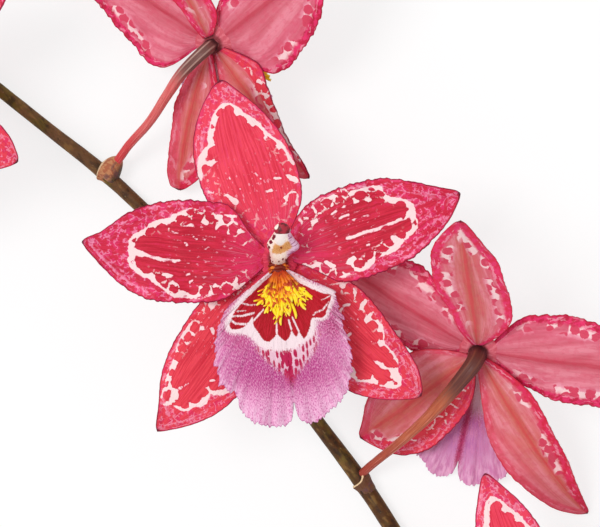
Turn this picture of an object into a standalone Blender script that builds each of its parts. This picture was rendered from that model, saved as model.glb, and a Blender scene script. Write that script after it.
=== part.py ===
"""A cut odontoglossum orchid: one flowering stem, lying down, with five open flowers.

Frame: metres, +Z up. The stem lies along +X, with its cut end at -X. The origin is on
the surface under the middle of the spray. The dimensions below are in millimetres and
degrees, and new_object() turns them into metres once.

Flowers are numbered from the cut end. Each has its own axes: right and up as seen from
its face, and the way it faces. Azimuths are counted from right towards up.
"""

import math

import bmesh
import bpy
import numpy as np

# ---------------------------------------------------------------- driving dimensions

MM = 0.001
CENTRE = (-10.6, 15.5)  # middle of the spray's footprint, moved to the origin
UP = -40.0  # azimuth, on the surface, that the flowers' tops point to

# Stem axis: x, y, radius. It rests on the surface and bends a little at each node.
STEM_PATH = [
    (-149.5, 31.4, 1.75),
    (-126.6, 30.2, 1.75),
    (-103.6, 28.6, 1.88),
    (-75.0, 24.6, 1.70),
    (-46.1, 20.6, 1.82),
    (-29.3, 19.6, 1.62),
    (5.9, 17.5, 1.68),
    (32.5, 18.9, 1.50),
    (43.2, 20.3, 1.58),
    (57.8, 23.3, 1.38),
    (81.3, 28.2, 1.38),
    (87.0, 29.5, 1.05),
    (90.0, 30.0, 0.60),
]
STEM_HEIGHT = 1.88  # height of the stem's axis: the nodes' swelling rests on the surface
STEM_SIDES = 12
SEAT = 0.3  # gap between a piece and the piece that it grows from

# A sepal or petal.
STATIONS = [0, 0.1, 0.22, 0.36, 0.5, 0.64, 0.78, 0.9, 1]  # where half-widths are given
CLAW_START = 2.0  # distance of its narrow foot from the flower's axis
SHEET = 0.8  # thickness in the middle
SEPAL_LAYER = 0.0
PETAL_LAYER = 1.25
ROWS = 10
COLUMNS = 7

# Azimuth and its change on the way, length, tilt and curl towards the face, cup, wave, and
# the half-widths on the two sides.
FRONT_FLOWER = {
    "dorsal_sepal": (107.8, 0, 37.9, -1, -6, -0.5, 0.35,
                     [1.3, 4.0, 8.2, 10.5, 11.0, 10.5, 8.5, 5.3, 1.4],
                     [1.3, 5.2, 8.6, 9.7, 9.6, 8.4, 6.1, 3.2, 0.6]),
    "left_petal": (175.3, 0, 39.6, 5, -6, 0.6, 0.6,
                   [1.3, 5.6, 9.6, 10.8, 11.2, 10.8, 8.2, 4.2, 0.5],
                   [1.3, 4.5, 9.9, 10.7, 10.5, 9.3, 6.6, 2.7, 0.5]),
    "right_petal": (19.6, 0, 38.9, 5, -6, 0.6, 0.6,
                    [1.3, 6.2, 8.9, 9.6, 9.4, 8.4, 5.6, 2.8, 0.5],
                    [1.3, 4.4, 9.0, 10.2, 10.1, 9.5, 7.3, 4.5, 0.6]),
    "left_sepal": (235.0, 0, 43.0, -1, -4, -0.4, 0.4,
                   [1.3, 3.9, 6.4, 8.6, 10.0, 9.7, 7.9, 4.5, 0.5],
                   [1.3, 4.0, 7.0, 8.2, 8.2, 7.6, 5.7, 2.7, 0.5]),
    "right_sepal": (316.0, 0, 40.3, -1, -3, -0.4, 0.4,
                    [1.3, 3.8, 6.2, 7.4, 7.2, 6.2, 5.1, 3.6, 0.8],
                    [1.3, 3.8, 6.6, 9.1, 10.7, 10.6, 8.6, 5.1, 0.8]),
}
FIRST_FLOWER = dict(FRONT_FLOWER)
FIRST_FLOWER["dorsal_sepal"] = (108.6, 0, 38.4, -1, -5, -0.5, 0.3,
                                [1.3, 3.6, 6.2, 7.6, 7.9, 7.0, 5.2, 2.8, 0.6],
                                [1.3, 3.6, 6.2, 7.6, 7.9, 7.0, 5.2, 2.8, 0.6])
SECOND_FLOWER = {
    "dorsal_sepal": (93.4, 0, 38.0, -16, -8, -0.5, 0.3,
                     [1.3, 5.6, 8.2, 8.4, 7.9, 7.1, 5.0, 3.0, 0.7],
                     [1.3, 3.3, 4.6, 6.3, 7.6, 7.6, 6.7, 3.8, 0.7]),
    "left_petal": (188.0, 0, 35.4, -2, 6, 0.6, 0.5,
                   [1.3, 4.2, 7.2, 9.3, 10.1, 10.5, 9.3, 6.1, 0.8],
                   [1.3, 5.8, 9.6, 10.7, 10.7, 10.2, 8.4, 5.5, 0.8]),
    "right_petal": (34.1, 0, 33.9, 2, 4, 0.6, 0.5,
                    [1.3, 3.6, 6.3, 8.4, 9.5, 9.5, 8.6, 6.1, 1.0],
                    [1.3, 5.6, 8.0, 9.2, 9.9, 9.8, 8.2, 4.9, 0.8]),
    "left_sepal": (246.0, 0, 46.3, -4, 25, -0.4, 0.3,
                   [1.3, 3.3, 5.5, 8.0, 8.9, 8.5, 7.3, 4.9, 1.2],
                   [1.3, 3.9, 5.8, 6.0, 5.4, 4.5, 3.0, 1.6, 0.5]),
    "right_sepal": (322.8, 0, 34.3, 0, 5, -0.4, 0.3,
                    [1.3, 5.2, 8.3, 9.3, 9.0, 7.8, 5.7, 2.8, 0.6],
                    [1.3, 5.2, 8.2, 9.8, 10.8, 11.1, 10.2, 7.6, 1.1]),
}
FOURTH_FLOWER = {
    "dorsal_sepal": (71.5, 0, 36.1, -6, -4, -0.4, 0.3,
                     [1.3, 4.3, 4.8, 4.7, 5.2, 6.0, 6.0, 4.1, 0.7],
                     [1.3, 2.2, 2.8, 3.9, 4.9, 5.2, 4.4, 2.8, 0.6]),
    "left_petal": (146.9, 0, 34.9, -2, 4, 0.5, 0.5,
                   [1.3, 9.0, 12.2, 12.6, 11.5, 9.1, 5.2, 2.4, 0.6],
                   [1.3, 5.6, 7.0, 7.9, 8.5, 8.3, 7.1, 4.7, 0.7]),
    "right_petal": (35.9, 0, 39.1, 2, 2, 0.5, 0.5,
                    [1.3, 4.0, 6.5, 8.5, 9.5, 9.8, 8.5, 5.2, 0.6],
                    [1.3, 10.2, 11.6, 10.7, 9.5, 8.5, 7.0, 4.7, 0.8]),
    "left_sepal": (236.2, 8, 33.9, 0, 6, 0.3, 0.3,
                   [1.0, 2.8, 4.9, 5.8, 6.0, 5.9, 5.2, 3.9, 1.0],
                   [1.0, 2.9, 5.3, 4.4, 2.8, 1.6, 1.0, 0.8, 0.5]),
    "right_sepal": (298.2, -18, 32.7, -1, -2, -0.3, 0.3,
                    [1.0, 2.0, 2.9, 3.7, 3.8, 3.4, 3.2, 3.2, 2.0],
                    [1.0, 2.8, 4.8, 6.0, 6.8, 6.9, 6.3, 4.2, 0.8]),
}

# Where each flower stands: centre of its face, how far it leans from facing straight up
# (180 faces the surface) and towards which azimuth, its turn about its own axis, its
# size, the reach of its lip, and the pedicel's way from the stem's node (at that x), where
# it leaves in the direction given, to the back of the flower. Where they differ from the
# usual, the lip's turn, the column's arch and the girth of the ovary are given too.
FLOWERS = [
    {"name": "flower_1", "tepals": FIRST_FLOWER, "centre": (-97.3, 12.4, 29.0),
     "lean": 4.0, "toward": 200.0, "turn": 1.5, "size": 1.0, "lip": 1.0, "node": -103.6,
     "leaves": (-84.0, 50.0), "way": [(-101.6, 20.5, 9.5), (-98.8, 15.0, 17.5)]},
    {"name": "flower_2", "tepals": SECOND_FLOWER, "centre": (-39.3, -16.93, 20.35),
     "lean": 150.0, "toward": -68.0, "turn": 0.0, "size": 1.0, "lip": 0.97, "lip_turn": 9.0,
     "node": -46.1,
     "leaves": (-85.0, 40.0), "way": [(-43.8, 8.3, 11.0), (-43.0, -1.0, 17.8), (-41.6, -8.5, 22.6)]},
    {"name": "flower_3", "tepals": FRONT_FLOWER, "centre": (3.89, 2.83, 29.0),
     "lean": 0.0, "toward": 0.0, "turn": 0.0, "size": 1.0, "lip": 1.0, "node": 5.9,
     "leaves": (-95.0, 50.0), "way": [(7.0, 11.0, 9.5), (5.2, 5.6, 17.5)]},
    {"name": "flower_4", "tepals": FOURTH_FLOWER, "centre": (48.39, -15.78, 16.2),
     "lean": 152.0, "toward": -85.0, "turn": 0.0, "size": 1.0, "lip": 0.78, "arch": 0.45,
     "ovary": 0.68, "node": 42.4, "leaves": (-88.0, 38.0),
     "way": [(43.9, 12.2, 6.9), (44.7, 5.2, 10.8), (46.3, -0.9, 14.6), (47.8, -7.0, 17.8)]},
    {"name": "flower_5", "tepals": FRONT_FLOWER, "centre": (92.5, 42.6, 25.0),
     "lean": 12.0, "toward": 50.0, "turn": 10.0, "size": 0.93, "lip": 1.0, "node": 81.0,
     "leaves": (92.0, 45.0), "way": [(84.8, 35.0, 8.6), (89.0, 39.8, 14.8)]},
]

# Lip: a fan from its foot below the column; its edge at every LIP_STEP degrees.
LIP_FOOT = (0.0, -1.7)
LIP_FIRST = 218.0
LIP_STEP = 6.0
LIP_EDGE = [8.5, 13.8, 19.4, 22.9, 25.7, 27.5, 28.8, 31.9, 33.4, 33.8,
            31.2, 33.7, 33.6, 31.7, 29.6, 26.0, 20.2, 15.9, 14.3, 12.4]
LIP_RISE = ([0, 4, 9, 16, 24, 36], [2.3, 3.3, 4.9, 5.3, 4.6, 2.6])  # distance out, height
LIP_FRILL = 0.7
LIP_ROWS = 9
LIP_COLUMNS = 17
CREST_HEIGHT = 1.9

# Column: points and radii along its axis (right, up, facing).
COLUMN_WAY = [(0.0, 0.0, -0.35), (0.0, 0.0, 1.7), (0.2, 0.9, 3.8), (0.6, 2.7, 6.3),
              (0.9, 4.7, 8.4), (1.0, 6.4, 9.8), (1.0, 7.8, 10.3)]
COLUMN_RADII = [1.55, 1.6, 2.1, 2.5, 2.35, 1.95, 0.9]
COLUMN_SIDES = 12

# Pedicel and ovary: radii at even steps along the way.
PEDICEL_RADII = [0.95, 1.0, 1.1, 1.25, 1.45, 1.7, 2.1]
PEDICEL_SIDES = 9

# Bract: a short sheath half round the stem, just below each pedicel.
BRACT_LENGTH = 4.6
BRACT_HALF_ANGLE = 88.0
BRACT_SHEET = 0.6

COLOURS = {
    "stem": (0.16, 0.13, 0.05),
    "bract": (0.42, 0.24, 0.06),
    "pedicel": (0.52, 0.10, 0.08),
    "sepal": (0.72, 0.05, 0.08),
    "petal": (0.74, 0.04, 0.12),
    "lip": (0.62, 0.16, 0.45),
    "column": (0.80, 0.66, 0.50),
}


# ---------------------------------------------------------------- curves and directions


def smooth(xs, ys, x):
    """Read at x a smooth curve that passes through the points (xs, ys)."""
    xs = np.asarray(xs, float)
    ys = np.asarray(ys, float)
    x = np.asarray(x, float)
    slope = np.gradient(ys, xs, axis=0)
    i = np.clip(np.searchsorted(xs, x) - 1, 0, len(xs) - 2)
    h = xs[i + 1] - xs[i]
    s = (x - xs[i]) / h
    if ys.ndim == 2:
        h = h[:, None]
        s = s[:, None]
    start = (1 + 2 * s) * (1 - s) ** 2 * ys[i] + s * (1 - s) ** 2 * h * slope[i]
    return start + s * s * (3 - 2 * s) * ys[i + 1] + s * s * (s - 1) * h * slope[i + 1]


def unit(v):
    """The same vectors at length one."""
    return v / np.linalg.norm(v, axis=-1, keepdims=True)


def direction(azimuth, elevation):
    """Unit vector from two angles in degrees."""
    a = math.radians(azimuth)
    e = math.radians(elevation)
    return np.array([math.cos(e) * math.cos(a), math.cos(e) * math.sin(a), math.sin(e)])


def along(points, count):
    """Spread count points evenly over a smooth curve through the given points."""
    points = np.asarray(points, float)
    chord = np.linalg.norm(np.diff(points, axis=0), axis=1)
    reach = np.concatenate([[0], np.cumsum(chord)])
    fine = smooth(reach, points, np.linspace(0, reach[-1], 400))
    walked = np.concatenate([[0], np.cumsum(np.linalg.norm(np.diff(fine, axis=0), axis=1))])
    at = np.linspace(0, walked[-1], count)
    return np.stack([np.interp(at, walked, fine[:, k]) for k in range(3)], axis=1)


def flower_axes(flower):
    """Right, up and facing directions of a flower, in columns."""
    facing = direction(flower["toward"], 90 - flower["lean"])
    up = direction(UP, 0)
    up = unit(up - facing * (up @ facing))
    return np.stack([np.cross(up, facing), up, facing], axis=1)


def place(flower, points):
    """Move points from a flower's own axes to the spray's frame."""
    return np.array(flower["centre"]) + flower["size"] * (points @ flower_axes(flower).T)


def on_stem(x):
    """Point on the stem's axis, its direction and radius, where the stem passes x."""
    path = np.array(STEM_PATH)
    y = smooth(path[:, 0], path[:, 1], [x - 0.5, x, x + 0.5])
    radius = float(np.interp(x, path[:, 0], path[:, 2]))
    return np.array([x, y[1], STEM_HEIGHT]), unit(np.array([1.0, y[2] - y[0], 0.0])), radius


# ---------------------------------------------------------------- sheets and tubes


def sheet(points, thickness):
    """Vertices and faces of a closed sheet around a grid of points."""
    rows, columns, _ = points.shape
    normal = unit(np.cross(np.gradient(points, axis=0), np.gradient(points, axis=1)))
    across = np.linspace(-1, 1, columns)
    half = (thickness / 2 * (1 - 0.4 * across**4))[None, :, None]
    front = (points + normal * half).reshape(-1, 3)
    back = (points - normal * half).reshape(-1, 3)
    index = np.arange(rows * columns).reshape(rows, columns)
    other = index + rows * columns
    faces = []
    for i in range(rows - 1):
        for j in range(columns - 1):
            faces.append([index[i, j], index[i + 1, j], index[i + 1, j + 1], index[i, j + 1]])
            faces.append([other[i, j], other[i, j + 1], other[i + 1, j + 1], other[i + 1, j]])
    rim = [(i, 0) for i in range(rows - 1)]
    rim += [(rows - 1, j) for j in range(columns - 1)]
    rim += [(i, columns - 1) for i in range(rows - 1, 0, -1)]
    rim += [(0, j) for j in range(columns - 1, 0, -1)]
    for a, b in zip(rim, rim[1:] + rim[:1]):
        faces.append([index[b], index[a], other[a], other[b]])
    return np.vstack([front, back]), faces


def tube(points, radii, sides, rib=0.0, ribs=6, rib_from=1.0):
    """Vertices and faces of a closed tube along points, ribbed beyond a share of it."""
    points = np.asarray(points, float)
    heading = unit(np.gradient(points, axis=0))
    side = np.cross(heading[0], [0.0, 0.0, 1.0])
    side = side if np.linalg.norm(side) > 0.1 else np.array([1.0, 0.0, 0.0])
    turn = 2 * np.pi * np.arange(sides) / sides
    rings = []
    for k, (point, ahead, radius) in enumerate(zip(points, heading, radii)):
        side = unit(side - ahead * (side @ ahead))
        other = np.cross(ahead, side)
        share = k / (len(points) - 1)
        wave = 1 + rib * np.cos(ribs * turn) * (share > rib_from)
        ring = np.cos(turn)[:, None] * side + np.sin(turn)[:, None] * other
        rings.append(point + radius * wave[:, None] * ring)
    return loft(rings)


def loft(rings):
    """Vertices and faces of a closed body through rings of equal count."""
    sides = len(rings[0])
    faces = [list(range(sides))[::-1]]
    for k in range(len(rings) - 1):
        for i in range(sides):
            j = (i + 1) % sides
            a = k * sides
            b = a + sides
            faces.append([a + i, a + j, b + j, b + i])
    faces.append([(len(rings) - 1) * sides + i for i in range(sides)])
    return np.vstack(rings), faces


# ---------------------------------------------------------------- parts of a flower


def midline(azimuth, bend, length, tilt, curl, layer, u):
    """Points, side directions and face normals along a tepal's midline."""
    fine = np.linspace(0, 1, 121)
    turn = np.radians(azimuth + bend * fine)
    rise = np.radians(tilt + curl * fine)
    flat = np.cos(rise)
    step = np.stack([flat * np.cos(turn), flat * np.sin(turn), np.sin(rise)], axis=1)
    walk = np.cumsum((step[1:] + step[:-1]) / 2, axis=0) * length / 120
    start = CLAW_START * direction(azimuth, 0) + np.array([0, 0, layer])
    points = start + np.vstack([np.zeros(3), walk])
    side = np.stack([-np.sin(turn), np.cos(turn), 0 * turn], axis=1)
    table = np.hstack([points, side, np.cross(step, side)])
    read = np.stack([np.interp(u, fine, column) for column in table.T], axis=1)
    return read[:, :3], unit(read[:, 3:6]), unit(read[:, 6:])


def tepal_surface(spec, layer, turn, phase, u, v):
    """Grid of points on the middle of a sepal or petal: u along it, v across it."""
    azimuth, bend, length, tilt, curl, cup, wave, left, right = spec
    points, side, normal = midline(azimuth + turn, bend, length, tilt, curl, layer, u)
    widths = np.where(v > 0, smooth(STATIONS, left, u)[:, None], smooth(STATIONS, right, u)[:, None])
    swell = np.sin(np.pi * u)[:, None] ** 0.8
    beat = 2 * np.pi * (3 * u[:, None] + 0.37 * (v < 0)) + phase
    frill = wave * smooth([0, 0.3, 1], [0, 1, 0.7], u)[:, None] * np.sin(beat)
    lift = cup * swell * v**2 + frill * np.abs(v) ** 2.5
    return points[:, None] + side[:, None] * (widths * v)[..., None] + normal[:, None] * lift[..., None]


def lip_surface(t, angles, size):
    """Grid of points on the middle of the lip: t outwards from its foot, then round it."""
    fan = LIP_FIRST + LIP_STEP * np.arange(len(LIP_EDGE))
    edge = size * smooth(fan, LIP_EDGE, angles)
    reach = 0.5 + (edge[None, :] - 0.5) * t[:, None]
    turn = np.radians(angles)[None, :]
    across = (angles - 277.0)[None, :] / 59.0
    rise = smooth(LIP_RISE[0], LIP_RISE[1], reach.ravel()).reshape(reach.shape)
    rise = rise - 0.9 * across**2 * t[:, None] + 1.2 * np.abs(across) ** 6 * np.sin(np.pi * t)[:, None]
    frill = LIP_FRILL * np.sin(np.radians(angles)[None, :] * 21) * t[:, None] ** 5
    x = LIP_FOOT[0] + reach * np.cos(turn)
    y = LIP_FOOT[1] + reach * np.sin(turn)
    return np.stack([x, y, rise + frill], axis=2)


def lip_solid(size):
    """The lip with its crest, a ridge down the middle of its face near the foot."""
    t = np.array([0, 0.06, 0.14, 0.24, 0.36, 0.5, 0.68, 0.86, 1.0])
    angles = np.linspace(LIP_FIRST, LIP_FIRST + LIP_STEP * (len(LIP_EDGE) - 1), LIP_COLUMNS)
    vertices, faces = sheet(lip_surface(t, angles, size), SHEET)
    front = vertices[: LIP_ROWS * LIP_COLUMNS].reshape(LIP_ROWS, LIP_COLUMNS, 3)
    hump = smooth([0, 0.14, 0.3, 0.45, 1.0], [0.4, 1.0, 0.8, 0.0, 0.0], t)[:, None]
    spread = np.exp(-(((angles - 277.0) / 26.0) ** 2))[None, :]
    front[..., 2] += CREST_HEIGHT * np.clip(hump, 0, 1) * spread
    return vertices, faces


def column_solid(arch):
    """The column: stout, arched towards the top, winged, with its anther cap at the end."""
    points = along(np.array(COLUMN_WAY) * [1.0, arch, 1.0], 11)
    shares = np.linspace(0, 1, 11)
    radii = smooth(np.linspace(0, 1, 7), COLUMN_RADII, shares)
    heading = unit(np.gradient(points, axis=0))
    turn = 2 * np.pi * np.arange(COLUMN_SIDES) / COLUMN_SIDES
    rings = []
    for point, ahead, radius, share in zip(points, heading, radii, shares):
        side = unit(np.cross(ahead, [1.0, 0.0, 0.0]))
        right = np.cross(side, ahead)
        wing = 0.38 * math.exp(-(((share - 0.62) / 0.12) ** 2)) * np.cos(turn) ** 8
        hollow = 0.4 * math.exp(-(((share - 0.6) / 0.1) ** 2)) * np.clip(-np.sin(turn), 0, 1) ** 4
        reach = radius * (1 + wing - hollow)
        ring = np.cos(turn)[:, None] * right + np.sin(turn)[:, None] * side
        rings.append(point + reach[:, None] * ring)
    return loft(rings)


def pedicel_points(flower, count):
    """The way of a pedicel and ovary, from the stem's node to the back of the flower."""
    node, _, radius = on_stem(flower["node"] + 1.8)
    leaves = direction(*flower["leaves"])
    facing = flower_axes(flower)[:, 2]
    centre = np.array(flower["centre"])
    foot = node + leaves * (radius + SEAT)
    way = [foot, foot + leaves * 2.2, *flower["way"]]
    way += [centre - facing * 4.6, centre - facing * 0.78 * flower["size"]]
    return along(way, count)


def pedicel_solid(flower):
    """The pedicel, thickening to the ribbed ovary."""
    count = 15
    points = pedicel_points(flower, count)
    radii = smooth(np.linspace(0, 1, len(PEDICEL_RADII)), PEDICEL_RADII, np.linspace(0, 1, count))
    radii = radii[0] + (radii - radii[0]) * (flower.get("ovary", 1.0) * 1.6 - 0.6)
    return tube(points, radii * np.where(np.arange(count) == 0, 0.9, 1), PEDICEL_SIDES)


def bract_solid(flower):
    """A short sheath that clasps the stem just below the pedicel, bulging on its side."""
    s = np.array([0, 0.25, 0.5, 0.75, 1.0])
    around = np.linspace(-1, 1, 9)
    azimuth, elevation = flower["leaves"]
    grid = np.zeros((len(s), len(around), 3))
    for i, share in enumerate(s):
        point, ahead, radius = on_stem(flower["node"] + 0.5 - BRACT_LENGTH * (1 - share))
        outwards = unit(np.cross(np.cross(ahead, direction(azimuth, 66)), ahead))
        other = np.cross(ahead, outwards)
        angle = np.radians(BRACT_HALF_ANGLE) * (0.8 + 0.2 * math.sin(math.pi * share)) * around
        reach = radius + SEAT + BRACT_SHEET / 2 + 0.25 * share
        ring = np.cos(angle)[:, None] * outwards + np.sin(angle)[:, None] * other
        grid[i] = point + reach * ring
    return sheet(grid, BRACT_SHEET)


def stem_solid():
    """The stem, swollen at its nodes, with a plain cut and a short tapered tip."""
    path = np.array(STEM_PATH)
    x = np.concatenate([np.linspace(path[0, 0], 81.3, 36), [84.2, 87.0, 88.8, 90.0]])
    y = smooth(path[:, 0], path[:, 1], x)
    radii = np.interp(x, path[:, 0], path[:, 2])
    points = np.stack([x, y, np.full_like(x, STEM_HEIGHT)], axis=1)
    return tube(points, radii, STEM_SIDES)


# ---------------------------------------------------------------- objects


def material(kind):
    """The plain material of a kind of piece, made once."""
    found = bpy.data.materials.get(kind)
    if found:
        return found
    made = bpy.data.materials.new(kind)
    made.use_nodes = True
    surface = made.node_tree.nodes["Principled BSDF"]
    surface.inputs["Base Color"].default_value = (*COLOURS[kind], 1.0)
    surface.inputs["Roughness"].default_value = 0.5
    return made


def new_object(name, kind, solid):
    """One closed body, from millimetres to metres, about the spray's middle."""
    vertices, faces = solid
    moved = (vertices - np.array([*CENTRE, 0.0])) * MM
    mesh = bpy.data.meshes.new(name)
    mesh.from_pydata(moved.tolist(), [], [[int(i) for i in face] for face in faces])
    made = bpy.data.objects.new(name, mesh)
    bpy.context.scene.collection.objects.link(made)
    work = bmesh.new()
    work.from_mesh(mesh)
    bmesh.ops.recalc_face_normals(work, faces=work.faces)
    work.to_mesh(mesh)
    work.free()
    mesh.materials.append(material(kind))


def add_flower(flower, number):
    """The nine pieces of one flower."""
    name = flower["name"]
    u = np.linspace(0, 1, ROWS)[:, None]
    v = np.linspace(-1, 1, COLUMNS)[None, :]
    for k, (part, spec) in enumerate(flower["tepals"].items()):
        kind = "petal" if part.endswith("petal") else "sepal"
        layer = PETAL_LAYER if kind == "petal" else SEPAL_LAYER
        grid = tepal_surface(spec, layer, flower["turn"], 1.9 * k + 0.7 * number, u[:, 0], v)
        vertices, faces = sheet(grid, SHEET)
        new_object(f"{name}_{part}", kind, (place(flower, vertices), faces))
    vertices, faces = lip_solid(flower["lip"])
    vertices = turned(vertices, flower["turn"] + flower.get("lip_turn", 0.0))
    new_object(f"{name}_lip", "lip", (place(flower, vertices), faces))
    vertices, faces = column_solid(flower.get("arch", 1.0))
    new_object(f"{name}_column", "column", (place(flower, turned(vertices, flower["turn"])), faces))
    new_object(f"{name}_pedicel", "pedicel", pedicel_solid(flower))
    new_object(f"{name}_bract", "bract", bract_solid(flower))


def turned(points, degrees):
    """Points turned about the flower's own axis."""
    a = math.radians(degrees)
    spin = np.array([[math.cos(a), math.sin(a), 0], [-math.sin(a), math.cos(a), 0], [0, 0, 1]])
    return points @ spin


for old in list(bpy.data.objects):
    bpy.data.objects.remove(old, do_unlink=True)

new_object("stem", "stem", stem_solid())
for number, flower in enumerate(FLOWERS):
    add_flower(flower, number)
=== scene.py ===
# %% [markdown]
# # A cut odontoglossum orchid
# This lesson dresses a packed model of a flowering orchid stem: one thin stem that lies
# on a table, with five open flowers on curved stalks. The packed model gives the frame:
# where each sepal, petal, lip, column and stalk is. Every visible piece is built again
# here with a fine mesh and a finish of its own, inside the space of its plain solid.
# The frame comes first, because all later cells measure themselves against it.

# %% Load the frame
import math

import bpy
import numpy as np
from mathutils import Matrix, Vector


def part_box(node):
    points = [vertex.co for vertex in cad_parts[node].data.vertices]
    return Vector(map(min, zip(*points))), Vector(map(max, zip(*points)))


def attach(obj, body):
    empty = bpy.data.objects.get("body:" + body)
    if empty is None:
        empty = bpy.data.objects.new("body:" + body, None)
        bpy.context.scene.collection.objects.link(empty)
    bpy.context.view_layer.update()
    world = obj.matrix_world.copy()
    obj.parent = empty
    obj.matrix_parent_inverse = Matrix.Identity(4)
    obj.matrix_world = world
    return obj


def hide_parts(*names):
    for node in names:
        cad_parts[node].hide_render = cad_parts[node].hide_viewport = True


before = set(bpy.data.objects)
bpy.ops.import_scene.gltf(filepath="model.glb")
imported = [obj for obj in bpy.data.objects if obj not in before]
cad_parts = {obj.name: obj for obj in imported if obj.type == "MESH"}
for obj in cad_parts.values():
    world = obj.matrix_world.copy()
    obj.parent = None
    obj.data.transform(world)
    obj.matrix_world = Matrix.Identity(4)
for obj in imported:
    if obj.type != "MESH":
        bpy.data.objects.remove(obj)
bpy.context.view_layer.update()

print("nodes in the frame:", len(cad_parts))

# %% [markdown]
# ## The spray's numbers
# A flower of this kind has three sepals behind two petals, and a lip below a short column.
# A sepal or petal is given by the way of its midline and by its half-widths at nine
# stations, in millimetres, on each of its two sides. The packed solids come from the same
# numbers, so the fine pieces fall where the solids are. Only three margins near the
# middle of the fourth flower are a little wider here.

# %% Numbers of the sepals and petals
MM = 0.001
CENTRE = (-10.6, 15.5)  # middle of the spray, which is the frame's origin
UP = -40.0  # azimuth that the flowers' tops point to
# Shares of the length at which the half-widths are given.
STATIONS = [0, 0.1, 0.22, 0.36, 0.5, 0.64, 0.78, 0.9, 1]
CLAW_START = 2.0  # from the flower's axis to the foot of a petal
LAYER = {"sepal": 0.0, "petal": 1.25}  # height of the foot: petals lie over sepals

# Azimuth, its change, length, tilt and curl towards the face, cup, wave, half-widths.
FRONT_FLOWER = {
    "dorsal_sepal": (107.8, 0, 37.9, -1, -6, -0.5, 0.35,
                     [1.3, 4.0, 8.2, 10.5, 11.0, 10.5, 8.5, 5.3, 1.4],
                     [1.3, 5.2, 8.6, 9.7, 9.6, 8.4, 6.1, 3.2, 0.6]),
    "left_petal": (175.3, 0, 39.6, 5, -6, 0.6, 0.6,
                   [1.3, 5.6, 9.6, 10.8, 11.2, 10.8, 8.2, 4.2, 0.5],
                   [1.3, 4.5, 9.9, 10.7, 10.5, 9.3, 6.6, 2.7, 0.5]),
    "right_petal": (19.6, 0, 38.9, 5, -6, 0.6, 0.6,
                    [1.3, 6.2, 8.9, 9.6, 9.4, 8.4, 5.6, 2.8, 0.5],
                    [1.3, 4.4, 9.0, 10.2, 10.1, 9.5, 7.3, 4.5, 0.6]),
    "left_sepal": (235.0, 0, 43.0, -1, -4, -0.4, 0.4,
                   [1.3, 3.9, 6.4, 8.6, 10.0, 9.7, 7.9, 4.5, 0.5],
                   [1.3, 4.0, 7.0, 8.2, 8.2, 7.6, 5.7, 2.7, 0.5]),
    "right_sepal": (316.0, 0, 40.3, -1, -3, -0.4, 0.4,
                    [1.3, 3.8, 6.2, 7.4, 7.2, 6.2, 5.1, 3.6, 0.8],
                    [1.3, 3.8, 6.6, 9.1, 10.7, 10.6, 8.6, 5.1, 0.8]),
}
FIRST_FLOWER = dict(FRONT_FLOWER)
FIRST_FLOWER["dorsal_sepal"] = (108.6, 0, 38.4, -1, -5, -0.5, 0.3,
                                [1.3, 3.6, 6.2, 7.6, 7.9, 7.0, 5.2, 2.8, 0.6],
                                [1.3, 3.6, 6.2, 7.6, 7.9, 7.0, 5.2, 2.8, 0.6])
SECOND_FLOWER = {
    "dorsal_sepal": (93.4, 0, 38.0, -16, -8, -0.5, 0.3,
                     [1.3, 5.6, 8.2, 8.4, 7.9, 7.1, 5.0, 3.0, 0.7],
                     [1.3, 3.3, 4.6, 6.3, 7.6, 7.6, 6.7, 3.8, 0.7]),
    "left_petal": (188.0, 0, 35.4, -2, 6, 0.6, 0.5,
                   [1.3, 4.2, 7.2, 9.3, 10.1, 10.5, 9.3, 6.1, 0.8],
                   [1.3, 5.8, 9.6, 10.7, 10.7, 10.2, 8.4, 5.5, 0.8]),
    "right_petal": (34.1, 0, 33.9, 2, 4, 0.6, 0.5,
                    [1.3, 3.6, 6.3, 8.4, 9.5, 9.5, 8.6, 6.1, 1.0],
                    [1.3, 5.6, 8.0, 9.2, 9.9, 9.8, 8.2, 4.9, 0.8]),
    "left_sepal": (246.0, 0, 46.3, -4, 25, -0.4, 0.3,
                   [1.3, 3.3, 5.5, 8.0, 8.9, 8.5, 7.3, 4.9, 1.2],
                   [1.3, 3.9, 5.8, 6.0, 5.4, 4.5, 3.0, 1.6, 0.5]),
    "right_sepal": (322.8, 0, 34.3, 0, 5, -0.4, 0.3,
                    [1.3, 5.2, 8.3, 9.3, 9.0, 7.8, 5.7, 2.8, 0.6],
                    [1.3, 5.2, 8.2, 9.8, 10.8, 11.1, 10.2, 7.6, 1.1]),
}
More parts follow.
